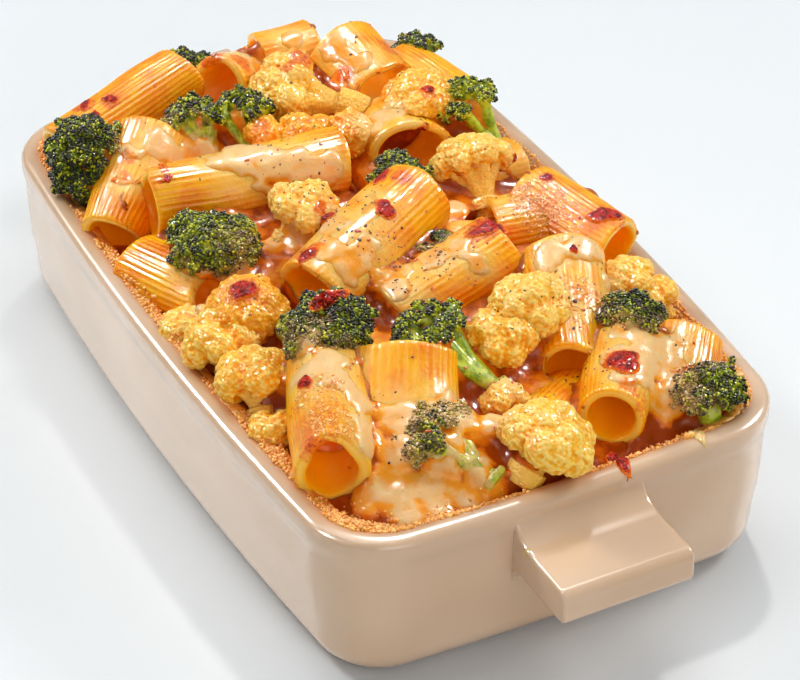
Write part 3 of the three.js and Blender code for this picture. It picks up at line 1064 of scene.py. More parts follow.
@dataclass
class Floret:
    """A head of knobs on a stem that forks towards them.

    lobe is a knob's radius against the head's, and reach is how far round a knob its curd or
    buds go, in degrees off its outward way.
    """

    name: str
    head: Point
    foot: Point
    radius: float
    squash: float = 0.8
    knobs: int = 5
    lobe: float = 0.42
    reach: float = 104.0
    stem_width: float = 0.34
    spread: float = 1.0
    crotch: float = 0.42
    branch: float = 0.44

    def clusters(self) -> list[Knob]:
        """Lays the knobs out over the head: one on top, a ring round it and one below that."""
        random = np.random.default_rng(number_of(self.name))
        head, foot = over_rim(self.head), over_rim(self.foot)
        axes = basis(head - foot)
        first = max(3, round(self.knobs * 0.7))
        rings = [(0.0, 1, 1.0), (46.0, first, 0.98), (82.0, self.knobs + 1, 0.9)]
        found = []
        for lean, count, size in rings:
            start = random.uniform(0, 2 * math.pi)
            for i in range(count):
                radius = self.radius * self.lobe * size * random.uniform(0.86, 1.12)
                tilt = math.radians(lean * self.spread + random.uniform(-8, 8))
                turn = start + 2 * math.pi * (i + random.uniform(-0.22, 0.22)) / count
                way = axes @ np.array([math.sin(tilt) * math.cos(turn), math.sin(tilt) * math.sin(turn),
                                       math.cos(tilt)])
                out = (self.radius - radius) * random.uniform(0.9, 1.03)
                low = max(self.radius * self.squash - 1.1 * radius, 0.1) / (self.radius - radius)
                found.append(Knob(head + way * out * np.array([1, 1, low]), radius,
                                  unit(way + 0.35 * axes[:, 2])))
        return found

    def fork(self, clusters: list[Knob]) -> list[Shape]:
        """The stem and a branch from it to each knob."""
        head, foot = over_rim(self.head), over_rim(self.foot)
        thick = self.radius * self.stem_width
        crotch = foot + (head - foot) * self.crotch
        bars = [limb(np.array([foot, foot + (crotch - foot) * 0.5, crotch]),
                     [thick * 0.85, thick, thick * 1.05])]
        for knob in clusters:
            start = foot + (crotch - foot) * 0.7
            bend = crotch + (knob.middle - crotch) * 0.5 - knob.outwards * 0.08 * self.radius
            end = knob.middle + knob.outwards * 0.1 * knob.radius
            bars.append(limb(np.array([start, bend, end]),
                             [thick * 0.5, thick * self.branch, knob.radius * 0.62]))
        return bars

    def rough(self) -> Shape:
        """The floret as the sauce meets it: its knobs and stem without buds."""
        small = ball(2)
        clusters = self.clusters()
        knobs = [Shape(small.points * knob.radius * 0.98 + knob.middle, small.faces) for knob in clusters]
        return together(knobs + self.fork(clusters))

    def seeds(self, knob: Knob, spacing: float) -> np.ndarray:
        """Directions for tufts on a knob, spaced evenly as far as they reach."""
        count = int(4 * math.pi * knob.radius ** 2 / (0.87 * spacing ** 2))
        ways = over_a_ball(max(count, 8))
        return ways[ways @ knob.outwards > math.cos(math.radians(self.reach))]

    def tufts(self, clusters: list[Knob], spacing: float, lift: tuple[float, float],
              stray: float) -> tuple[np.ndarray, np.ndarray]:
        """Lays small tufts over the knobs, where no other knob covers them.

        Args:
            clusters: The knobs.
            spacing: Distance between tufts.
            lift: How far a tuft's middle lies from its knob's, at least and most, in knob radii.
            stray: How far a few tufts stand out beyond that, in millimetres.

        Returns:
            The tufts' middles and the ways that they face.
        """
        random = np.random.default_rng(number_of(self.name) + 7)
        middles, ways = [], []
        for index, knob in enumerate(clusters):
            way = self.seeds(knob, spacing)
            way = way + 0.12 * random.normal(size=way.shape)
            way /= np.linalg.norm(way, axis=1)[:, None]
            out = knob.radius * random.uniform(*lift, len(way)) + stray * random.random(len(way)) ** 5
            spot = knob.middle + way * out[:, None]
            free = np.ones(len(spot), bool)
            for other, rival in enumerate(clusters):
                if other != index:
                    free &= np.linalg.norm(spot - rival.middle, axis=1) > rival.radius * 0.82
            middles.append(spot[free])
            ways.append(way[free])
        return np.concatenate(middles), np.concatenate(ways)

    @staticmethod
    def studs(middles: np.ndarray, ways: np.ndarray, radius: float, spacing: float,
              least: float) -> tuple[np.ndarray, np.ndarray]:
        """Places for grains over the outer side of each tuft.

        Args:
            middles: The tufts' middles.
            ways: The ways that they face.
            radius: A tuft's radius.
            spacing: Distance between grains.
            least: How far round a tuft its grains go, as the cosine off its way.

        Returns:
            The places, and how near each is to its tuft's tip, 1 at the tip.
        """
        round_it = over_a_ball(max(8, int(4 * math.pi * radius ** 2 / (0.87 * spacing ** 2))))
        near = ways @ round_it.T
        tuft, way = np.nonzero(near > least)
        return middles[tuft] + radius * round_it[way], near[tuft, way]


@dataclass
class Broccoli(Floret):
    """A broccoli floret: tufts of fine buds over yellow-green branches.

    tuft and bud are radii, tone makes the buds brighter, and frill is how far a few tufts
    stand out.
    """

    lobe: float = 0.34
    tuft: float = 1.2
    bud: float = 0.42
    tone: float = 0.0
    frill: float = 2.2
    grid: float = 0.6
    slot: Slot = Slot.BROCCOLI

    def build(self, rooms: list[Rigatone]) -> bpy.types.Object:
        """Makes the floret.

        Args:
            rooms: Tubes that the buds must stay out of.

        Returns:
            The floret in one mesh.
        """
        random = np.random.default_rng(number_of(self.name) + 1)
        clusters = self.clusters()
        core = ball(2)
        cores = [Shape(core.points * knob.radius * 0.8 + knob.middle, core.faces) for knob in clusters]
        middles, ways = self.tufts(clusters, self.tuft * 1.75, (0.78, 1.02), self.frill)
        small = ball(1)
        turns = any_turns(len(middles), 3)
        domes = sprinkled(small, middles - ways * 0.25, np.full((len(middles), 3), self.tuft * 0.86), turns)
        sprigs = sprinkled(small, middles - ways * 1.5, np.full((len(middles), 3), self.tuft * 0.6), turns)
        body = to_object(self.name + "_body", together(self.fork(clusters) + cores + [domes, sprigs]))
        modify(body, "REMESH", mode="VOXEL", voxel_size=self.grid * MM)
        modify(body, "SMOOTH", factor=0.5, iterations=1)
        places = points_of(body)
        near = np.min([np.linalg.norm(places - knob.middle, axis=1) / knob.radius
                       for knob in clusters], axis=0)
        store(body, "bud", ease((1.15 - near) / 0.3) * ease((near - 0.5) / 0.2))
        # The body's tone wanders at random and darkens in its hollows, which is painted shade.
        store(body, "shade", 0.6 + self.tone + 0.16 * ripple(places, 3.0, 5) - 0.5 * hollowness(body))
        spots, tips = self.studs(middles, ways, self.tuft, 2 * self.bud, -0.1)
        spots = spots + 0.13 * random.normal(size=spots.shape)
        free = np.ones(len(spots), bool)
        for tube in rooms:
            free &= ~tube.holds(spots, -0.2)
        spots, tips = spots[free], tips[free]
        sizes = self.bud * random.uniform(0.7, 1.25, (len(spots), 1))
        sizes = sizes * random.uniform(0.8, 1.25, (len(spots), 3))
        patch = 0.17 * ripple(spots, 6.0, number_of(self.name) + 5)
        shades = 0.78 - 0.62 * ease(tips / 0.8) + 0.16 * random.normal(size=len(spots)) + patch + self.tone
        shades = np.where(random.random(len(spots)) < 0.07, 0.9, shades)
        bead = ball(1)
        turns = any_turns(len(spots), number_of(self.name))
        buds = to_object(self.name + "_buds", sprinkled(bead, spots, sizes, turns))
        store(buds, "bud", np.ones(len(buds.data.vertices)))
        store(buds, "shade", np.repeat(np.clip(shades, 0, 1), len(bead.points)))
        return merge_into_one(self.name + "_budded", [body, buds])


@dataclass
class Cauliflower(Floret):
    """A cauliflower floret: knobs of fine curd on a pale stem.

    tuft and grain are radii, and warmth turns the curd from cream to gold.
    """

    lobe: float = 0.36
    reach: float = 112.0
    tuft: float = 1.7
    grain: float = 0.74
    warmth: float = 0.25
    stem_width: float = 0.4
    grid: float = 0.44
    slot: Slot = Slot.CAULIFLOWER

    def build(self) -> bpy.types.Object:
        """Makes the floret in one closed mesh."""
        random = np.random.default_rng(number_of(self.name) + 1)
        clusters = self.clusters()
        core = ball(3)
        shapes = self.fork(clusters)
        shapes += [Shape(core.points * knob.radius * 0.84 + knob.middle, core.faces) for knob in clusters]
        middles, ways = self.tufts(clusters, self.tuft * 1.15, (0.76, 0.84), 0.2)
        round_sizes = np.full((len(middles), 3), self.tuft * 0.95)
        shapes.append(sprinkled(ball(2), middles, round_sizes, any_turns(len(middles), 3)))
        spots, _ = self.studs(middles, ways, self.tuft * 1.04, 1.8 * self.grain, -0.05)
        spots = spots + 0.16 * random.normal(size=spots.shape)
        sizes = np.repeat(self.grain * random.uniform(0.75, 1.25, (len(spots), 1)), 3, axis=1)
        shapes.append(sprinkled(ball(1), spots, sizes, any_turns(len(spots), number_of(self.name))))
        piece = to_object(self.name + "_curd", together(shapes))
        modify(piece, "REMESH", mode="VOXEL", voxel_size=self.grid * MM)
        modify(piece, "SMOOTH", factor=0.2, iterations=1)
        places = points_of(piece)
        near = np.min([(np.linalg.norm(places - knob.middle, axis=1) - self.tuft) / knob.radius
                       - 0.35 * np.clip((places - knob.middle) @ knob.outwards / knob.radius, -1, 0)
                       for knob in clusters], axis=0)
        store(piece, "curd", ease((1.36 - near) / 0.3))
        # Gold in the hollows and cream on the crests: painted shade and painted highlight over the floret's
        # warmth.
        store(piece, "warm", self.warmth + 1.6 * hollowness(piece) + 1.5 * hollowness(piece, 8))
        return piece


# ------------------------------------------------------------------ the heap


HEAP: list[Rigatone | Broccoli | Cauliflower] = [
    Broccoli("broccoli_crown_front", (43, -38, 16.5), (28, -42, 9), 13, 0.75, 7),
    Broccoli("broccoli_long_stem", (58, -12, 15), (76, -2, 6), 12, 0.55, 6, spread=0.95, reach=70,
             crotch=0.12, branch=0.36, tone=0.12),
    Cauliflower("cauliflower_cream_large", (56, 17, 14), (58, 12, 4), 11, 0.85, 6, warmth=0.02),
    Cauliflower("cauliflower_cream_small", (61, 6, 10), (60, 11, 2), 9.5, 0.9, 5, warmth=0.2),
    Cauliflower("cauliflower_middle", (-14, -16, 14), (-12, -25, 4), 10, 0.8, 5, warmth=0.1),
    Rigatone("rigatone_centre", (16, -28, 9), (-4, 15, 16), 22, 20, first=Mouth(8, 90, 0.9)),
    Rigatone("rigatone_centre_right", (30, -10, 2), (26, 26, 12), 21, 19),
    Rigatone("rigatone_right_domed", (72, 23, 1), (37, 38, 12), 21, 20, first=Mouth(14, 200, 0.95, 1.1)),
    Rigatone("rigatone_front_left", (85, -57, 6), (46, -38, 9), 21, 20,
             first=Mouth(4, 90, 0.98, 1.3, 0.34, 82), wall=3.4),
    Rigatone("rigatone_front_curtain", (86, -37, -4), (58, -22, 14), 27, 17),
    Broccoli("broccoli_front", (88, -26, 7), (103, -18, 1), 12, 0.65, 7, spread=0.95, reach=76, crotch=0.12,
             branch=0.36, tone=0.08),
    Cauliflower("cauliflower_front", (101, -4, 7), (103, -12, -2), 13, 0.8, 8, warmth=0.1),
    Rigatone("rigatone_front_right", (97, 19, 4), (69, 41, 4), 19, 19,
             first=Mouth(0, 90, 0.94, 1.1), plump=1.06),
    Broccoli("broccoli_right", (70, 41, 13), (60, 50, 7), 8.5, 0.8, 5),
    Broccoli("broccoli_front_corner", (99, 47, 4), (103, 46, -3), 10, 0.75, 6),
    Broccoli("broccoli_slip_right", (18, 11, 10), (11, 13, 3), 8, 0.8, 4),
    Broccoli("broccoli_slip_left", (-23, 18, 10), (-31, 15, 4), 9, 0.75, 5, tone=0.12),
    Broccoli("broccoli_left", (-17, -42, 11), (-27, -32, 6), 13.5, 0.55, 6, tone=0.2),
    Rigatone("rigatone_left_long", (-43, -50, 9), (-36, 6, 10), 21, 19,
             first=Mouth(0, 90, 0.95, 1.3, 0.3), last=Mouth(10, 90)),
    Cauliflower("cauliflower_left_round", (17, -48, 9), (19, -50, 0), 11, 0.9, 6, lobe=0.5, warmth=0.6),
    Cauliflower("cauliflower_left_lower", (22, -58, 5), (28, -58, -3), 10.5, 0.85, 5, warmth=0.2),
    Cauliflower("cauliflower_left_front", (41, -57, 5), (50, -59, -3), 10.5, 0.8, 5, warmth=0.3),
    Rigatone("rigatone_right_far", (32, 59, 4), (0, 49, 7), 21, 19,
             first=Mouth(6, 0, 0.96, 1.1), plump=1.05),
    Rigatone("rigatone_mouth_up", (-34, 29, 8), (-58, 34, 2), 23, 18),
    Broccoli("broccoli_far_right", (-41, 52, 13), (-27, 58, 0), 10.5, 0.7, 5, spread=0.9, reach=62,
             crotch=0.1, branch=0.36, tone=0.3),
    Cauliflower("cauliflower_far_right", (-50, 41, 12), (-42, 42, 2), 12, 0.85, 6, warmth=0.3),
    Cauliflower("cauliflower_far_large", (-72, 10, 13), (-60, 28, 8), 14, 0.85, 7, warmth=0.08),
    Cauliflower("cauliflower_nub_left", (-56, -7, 12), (-62, -2, 4), 6, 0.8, 3, warmth=0.6),
    Cauliflower("cauliflower_nub_middle", (-51, 3, 13), (-58, 8, 5), 7, 0.8, 3, warmth=0.55),
    Cauliflower("cauliflower_nub_right", (-47, 15, 12), (-54, 20, 5), 7, 0.8, 3, warmth=0.5),
    Cauliflower("cauliflower_branched", (-16, 40, 9), (-3, 38, 0), 12, 0.9, 5, spread=0.75, reach=86,
                warmth=0.05),
    Rigatone("rigatone_under_dome", (6, 34, 3), (13, 58, 5), 20, 17),
    Broccoli("broccoli_upright_left", (-68, -24, 15), (-55, -24, 4), 9.5, 0.6, 5, spread=0.9, reach=64,
             crotch=0.1, branch=0.36, tone=0.08),
    Broccoli("broccoli_upright_right", (-65, -10, 15), (-53, -12, 4), 9.5, 0.6, 5, spread=0.9, reach=64,
             crotch=0.1, branch=0.36, tone=0.12),
    Rigatone("rigatone_far_mouth", (-87, -8, 11.5), (-102, 14, 1), 18, 17.5, first=Mouth(0, 90, 1.0, 1.08)),
    Rigatone("rigatone_left_sauced", (-47, -60, -2), (-72, -36, 11), 19, 19, first=Mouth(0, 90, 0.95, 1.2)),
    Rigatone("rigatone_left_front", (-33, -58, -3), (-5, -48, -1), 20, 18, last=Mouth(24, 240, 0.9)),
    Broccoli("broccoli_left_corner", (-73, -56, 9), (-84, -50, 0), 11.5, 1.2, 7),
    Rigatone("rigatone_far_left", (-86, -59, 4), (-96, -15, 14), 19, 18,
             last=Mouth(12, 200, 0.92), plump=1.05),
    Rigatone("rigatone_far_end", (-99, 11, 8), (-98, 29, 9), 18, 17),
    Rigatone("rigatone_far_peak", (-88, 33, 15), (-69, 37, 9), 21, 17),
    Rigatone("rigatone_far_side", (-81, 49, 6), (-56, 57, 4), 18, 16),
    Broccoli("broccoli_far_end", (-103, -9, 10), (-102, -7, 3), 6.5, 0.8, 4),
    Broccoli("broccoli_far_corner", (-80, 56, 7), (-70, 60, 0), 9, 0.8, 5, spread=0.7, reach=80,
             crotch=0.2),
    Cauliflower("cauliflower_right_bright", (49, 52, 7), (50, 56, 0), 8, 0.75, 4, warmth=0.15),
    Cauliflower("cauliflower_stem_wedge", (55, 58, 4), (60, 60, -1), 6, 0.7, 3),
    Rigatone("rigatone_front_corner", (90, 41, -4), (73, 56, 2), 20, 16),
    Rigatone("rigatone_right_low", (2, 22, -1), (12, 37, -1), 16, 14),
    Rigatone("rigatone_far_low", (-24, 38, 2), (-27, 58, 0), 17, 14),
    Rigatone("rigatone_front_low", (84, 6, -2), (72, 24, -5), 17, 14),
    Cauliflower("cauliflower_left_pale", (3, -60, -1), (9, -56, -4), 6.5, 0.6, 3, warmth=0.1),
    Cauliflower("cauliflower_cut_stem", (55, -59, 0), (50, -56, -3), 5.5, 0.7, 3),
    Cauliflower("cauliflower_stem_front", (79, -3, 5), (82, -4, -1), 5.5, 0.9, 3),
]


@dataclass
class Heap:
    """All pieces of the food that lie in the dish."""

    finishes: dict[Slot, bpy.types.Material]
    pieces: list[bpy.types.Object] = field(default_factory=list)

    def build(self) -> None:
        """Makes each piece, and trims it out of the tubes that lie over it."""
        above: list[Rigatone] = []
        for item in HEAP:
            piece = item.build(above) if isinstance(item, Broccoli) else item.build()
            for tube in above:
                self.trim(piece, tube)
            self.paint(piece)
            smooth_shade(piece)
            dress(piece, self.finishes[item.slot], item.slot, item.name)
            self.pieces.append(piece)
            if isinstance(item, Rigatone):
                above.append(item)

    @staticmethod
    def paint(piece: bpy.types.Object) -> None:
        """Keeps how thick the film of sauce is, and how browned each point is."""
        places, up = points_of(piece), normals_of(piece)[:, 2]
        near, _ = covered(places, POURED, POURED_SEED, widen=1.15)
        wide, _ = covered(places, POURED, POURED_SEED, widen=1.8)
        store(piece, "film", (0.5 * near + 0.35 * wide) * ease((up + 0.5) / 0.7))
        if "_ridged" in piece.name:
            groove = (1 - stored(piece, "crest") ** Rigatone.keen) * (stored(piece, "inside") < 0.05)
            fill = Rigatone.ridge * groove * np.maximum(near, 0.6 * wide)
            move_points(piece, places + normals_of(piece) * fill[:, None])
        store(piece, "toast", covered(places, BROWNED, BROWNED_SEED)[1])

    @staticmethod
    def trim(piece: bpy.types.Object, tube: Rigatone) -> None:
        """Cuts away what would reach into a tube, where the piece is near it."""
        if "_budded" in piece.name:
            return
        places = points_of(piece)
        if not tube.holds(places, 0.4).any():
            return
        room = tube.room()
        modify(piece, "BOOLEAN", operation="DIFFERENCE", solver="MANIFOLD", object=room)
        bpy.data.objects.remove(room)


# ------------------------------------------------------------------ sauce


@dataclass(frozen=True)
class Spot:
    """A round stretch of the heap: its middle, how far it reaches, and how deep or dark it is."""

    middle: Point
    reach: float
    strength: float


def spots_of(rows: list[tuple[float, float, float, float, float]]) -> list[Spot]:
    """Spots from rows of a middle's three values, a reach and a strength."""
    return [Spot((x, y, z), reach, strength) for x, y, z, reach, strength in rows]


# Where sauce lies thick over a piece. The strength is its depth in millimetres.
POURED = spots_of([
    (92, -49, -2, 7.0, 0.3), (98, -44, -2, 7.0, 0.3), (101, -36, -2, 7.0, 0.3), (102, -27, -2, 7.0, 0.3),
    (92, -30, -1, 8.0, 0.4), (91, -40, 0, 7.0, 0.4), (102, -20, -2, 6.0, 0.2),
    # the left tube's hump, and the sauced tube and upright broccoli beside it
    (-39, -23, 18, 9.5, 1.9), (-34, -17, 17, 9.0, 1.7), (-30, -8, 16, 8.0, 1.2), (-28, -1, 15, 6.0, 0.7),
    (-62, -38, 15, 7.0, 1.2), (-59, -35, 11, 6.0, 1.0), (-61, -47, 14, 5.0, 0.8), (-53, -53, 10, 4.5, 0.4),
    (-61, -25, 9, 5.0, 1.0), (-41, -30, 18, 5.0, 0.8), (-61, -31, 8, 7.0, 0.8), (-62, -22, 7, 6.0, 0.6),
    # under the left broccoli, down to the front of it
    (-8, -40, 7, 7.0, 1.2), (-9, -45, 3, 7.5, 1.2), (-12, -36, 4, 6.0, 1.0), (-12, -51, 7, 4.5, 0.6),
    (2, -54, 5, 4.0, 1.2), (4, -50, 6, 4.5, 0.8),
    # the middle cauliflower and the tube beside it
    (-20, -10, 12, 6.5, 0.7), (-9, -19, 10, 7.0, 0.8), (-5, -12, 17, 5.0, 0.6), (-12, -27, 6, 4.0, 0.5),
    (7, -15, 20, 7.5, 0.5), (14, -21, 19, 7.5, 0.5), (17, -13, 17, 7.5, 0.5), (20, -20, 17, 6.0, 0.4),
    (22, -9, 11, 6.0, 0.6), (8, -6, 22, 5.5, 0.3), (2, -2, 22, 4.0, 0.2),
    # the next tube and the crease between the two
    (30, -9, 12, 5.5, 0.9), (25, -3, 12, 5.0, 0.6), (26, 4, 15, 7.0, 0.6), (27, 12, 17, 6.0, 0.5),
    (33, 14, 16, 4.5, 0.4), (36, -4, 8, 5.0, 0.5),
    # from the front crown down the front left tube
    (48, -45, 17, 6.0, 0.8), (44, -46, 17, 4.5, 0.5), (58, -44, 18, 6.0, 0.8), (59, -49, 17, 6.0, 1.0),
    (66, -46, 18, 6.0, 1.1), (57, -52, 15, 4.0, 0.7), (74, -44, 15, 5.5, 1.1), (86, -47, 12, 6.0, 1.1),
    (81, -46, 14, 5.5, 1.0),
    # the curtain in front and the pool beside it
    (78, -42, 4, 7.0, 1.2), (87, -45, -2, 7.0, 1.2), (94, -46, -3, 5.5, 1.0), (79, -33, 11, 7.5, 0.9),
    (87, -38, 5, 8.0, 0.8), (93, -34, 0, 8.0, 0.8), (99, -35, -4, 6.5, 0.8), (101, -28, -3, 5.5, 0.8),
    (95, -40, -3, 7.0, 0.8), (82, -25, 12, 7.5, 0.9), (86, -19, 12, 7.0, 1.0), (89, -12, 10, 5.5, 1.0),
    (84, -34, 4, 8.0, 0.8), (90, -42, 1, 8.0, 0.8), (95, -30, 1, 8.0, 0.8), (97, -22, 0, 7.0, 0.8),
    (101, -42, -2, 7.0, 0.8), (90, -26, 4, 8.0, 0.8), (80, -18, 12, 5.0, 0.8),
    # the dome over the right tube's end, and the blanket in front of it
    (37, 39, 16, 8.5, 1.6), (45, 38, 18, 7.5, 1.4), (44, 31, 19, 6.5, 1.1), (52, 41, 12, 5.0, 1.0),
    (60, 31, 13, 5.5, 0.2), (62, 38, 10, 5.5, 1.0), (83, 36, 13, 6.0, 1.1), (77, 34, 14, 5.0, 0.5),
    (88, 35, 12, 8.0, 1.2), (82, 45, 8, 7.0, 1.1), (84, 28, 14, 6.0, 1.1), (95, 42, 6, 7.0, 0.8),
    (91, 39, 7, 7.5, 1.0), (93, 25, 14, 5.0, 0.9), (91, 32, 13, 7.5, 0.9), (97, 36, 6, 7.5, 0.9),
    (86, 42, 9, 7.5, 0.9),
    # the tubes and florets at the far end
    (-47, 28, 14, 6.0, 0.9), (-43, 20, 15, 5.0, 0.7), (-36, 29, 16, 4.5, 0.5), (-5, 27, 7, 5.0, 0.8),
    (5, 29, 7, 5.0, 0.8), (7, 40, 8, 5.0, 0.8), (-68, 37, 9, 7.0, 0.7), (-73, 26, 14, 4.0, 0.4),
    (-62, 32, 7, 5.0, 0.6), (-16, 56, 8, 6.0, 0.5), (-80, 27, 20, 7.0, 0.4), (-72, 31, 17, 6.5, 0.4),
    (-91, 3, 15, 5.0, 0.4), (-95, 20, 15, 6.0, 0.3), (-92, -5, 19, 5.0, 0.3),
    # low down between the pieces
    (34, -51, 7, 4.5, 0.6), (78, -2, 7, 4.5, 0.6), (62, 7, 3, 4.0, 0.4), (50, 28, 12, 5.0, 0.5),
    (-73, 12, 9, 5.0, 0.5), (-93, -10, 7, 5.0, 0.4),
])

# Sauce that fills the hollows between pieces up to its middle's height. The strength is
# its height against its reach.
POOLS = spots_of([
    (-61, -31, 8, 7.0, 0.8), (-63, -23, 7, 6.0, 0.8), (-6, -45, 3, 7.0, 0.8), (-10, -37, 5, 7.0, 0.8),
    (-7, -20, 9, 6.5, 0.8), (26, -6, 9, 6.0, 0.8), (52, -43, 13, 7.0, 0.8), (67, -40, 10, 6.0, 0.8),
    (78, -42, 3, 6.5, 0.8), (87, -45, -3, 6.5, 0.7), (83, -36, 4, 8.0, 0.8), (93, -35, -1, 9.0, 0.7),
    (98, -34, -2, 8.0, 0.5), (101, -27, -2, 7.0, 0.5), (93, -48, -2, 7.0, 0.5), (99, -43, -2, 7.0, 0.5),
    (102, -35, -2, 6.0, 0.5), (102, -20, -3, 6.0, 0.5), (86, -19, 11, 8.0, 0.8), (89, -12, 9, 5.5, 0.8),
    (37, 39, 16, 8.5, 0.8), (46, 39, 15, 7.5, 0.8), (61, 38, 9, 6.0, 0.8), (82, 36, 12, 6.0, 0.8),
    (90, 39, 7, 8.0, 0.8), (95, 45, 3, 6.0, 0.7), (-5, 27, 6, 6.0, 0.8), (4, 29, 6, 5.0, 0.8),
    (7, 40, 8, 6.5, 0.8), (-69, 37, 8, 7.5, 0.8), (-63, 32, 6, 6.0, 0.8), (-73, 12, 8, 6.0, 0.8),
    (-94, -11, 5, 6.0, 0.8), (34, -51, 6, 5.0, 0.8), (77, -2, 6, 5.5, 0.8), (50, 29, 9, 6.5, 0.8),
    (2, -54, 4, 4.0, 0.8), (-27, -5, 5, 6.0, 0.8), (-72, -22, 6, 7.0, 0.8), (-45, 24, 6, 6.0, 0.8),
])

# Where something is browned. The strength is 0.3 for gold, 0.6 for red and 0.9 for black.
BROWNED = spots_of([
    # the front left tube's frothy crust and mouth
    (81, -59, 17, 7.5, 0.42), (66, -56, 14, 5.0, 0.3), (78, -51, 17, 5.0, 0.3), (84, -60, 16, 4.0, 0.58),
    (67, -47, 18, 3.5, 0.3),
    # the two tubes in the middle
    (26, 21, 20, 6.0, 0.66), (26, 17, 19, 4.5, 0.5), (25, 6, 16, 4.0, 0.3), (-7, 5, 22, 4.5, 0.5),
    (-2, 9, 24, 4.5, 0.55), (11, -27, 19, 4.5, 0.5), (6, -2, 22, 4.0, 0.45),
    # the crust beside the dome, and the tubes at the right
    (8, 42, 13, 5.5, 0.3), (14, 46, 14, 7.5, 0.36), (20, 50, 14, 5.0, 0.36), (58, 32, 14, 6.0, 0.34),
    (66, 26, 11, 5.0, 0.22), (27, 58, 15, 6.5, 0.5), (34, 60, 14, 4.0, 0.4), (24, 55, 15, 4.0, 0.35),
    (6, 51, 17, 3.5, 0.5), (89, 27, 15, 6.5, 0.45), (97, 24, 14, 4.0, 0.4), (101, 28, 9, 5.0, 0.3),
    (92, 44, 4, 6.0, 0.35), (99, 46, -1, 4.5, 0.35),
    # the far end
    (-72, 13, 25, 6.0, 0.5), (-70, 7, 26, 3.5, 0.5), (-72, 27, 15, 3.5, 0.5), (-91, -49, 16, 4.0, 0.55),
    (-88, -42, 17, 3.5, 0.55), (-91, -7, 19, 4.5, 0.5), (-88, 0, 19, 4.5, 0.45), (-76, 42, 17, 4.5, 0.45),
    (-69, 44, 15, 4.0, 0.35), (-44, 40, 22, 4.0, 0.4), (-35, 34, 15, 3.5, 0.3), (-42, 43, 18, 6.0, 0.16),
    (-54, -10, 16, 5.0, 0.36), (-49, 0, 18, 5.0, 0.26), (-43, 12, 17, 5.0, 0.26),
    # the left side
    (-60, -49, 14, 4.0, 0.45), (-42, -47, 18, 5.0, 0.36), (-44, -37, 18, 4.5, 0.22), (-55, -53, 11, 4.0, 0.4),
    (-29, -62, 3, 3.5, 0.3), (-27, -57, 6, 5.0, 0.36), (-22, -54, 9, 4.0, 0.4), (-46, -59, 7, 3.0, 0.3),
    (19, -50, 19, 5.5, 0.5), (20, -53, 17, 3.5, 0.35), (22, -46, 17, 3.5, 0.3), (45, -61, 8, 5.0, 0.2),
    (29, -56, 9, 4.5, 0.16), (22, -62, 8, 5.0, 0.2), (-5, -14, 20, 3.0, 0.5), (40, -35, 30, 5.0, 0.45),
    (48, -39, 29, 4.5, 0.45),
])


def covered(places: np.ndarray, spots: list[Spot], seed: int,
            widen: float = 1.0) -> tuple[np.ndarray, np.ndarray]:
    """How much of each place lies under a set of spots with uneven edges.

    Args:
        places: The places.
        spots: The spots.
        seed: Chooses how the edges wander.
        widen: Makes all spots reach further.

    Returns:
        The share of cover, 0 to 1, and the strength times that share.
    """
    share, most = np.zeros(len(places)), np.zeros(len(places))
    wander = 0.16 * ripple(places, 9, seed) + 0.08 * ripple(places, 3.5, seed + 1)
    for spot in spots:
        far = np.linalg.norm(places - over_rim(spot.middle), axis=1) / (spot.reach * widen)
        cover = ease((1.15 - far + wander) / 0.6)
        share = np.maximum(share, cover)
        most = np.maximum(most, cover * spot.strength)
    return share, most


# The corners of the sheet of sauce that has run from the front tubes down to the rim.
SHEET = [(82, -51, -0.5), (97, -53, -3.2), (105, -44, -2.6), (105, -16, -2.4), (80, -16, 9.5), (68, -40, 8)]


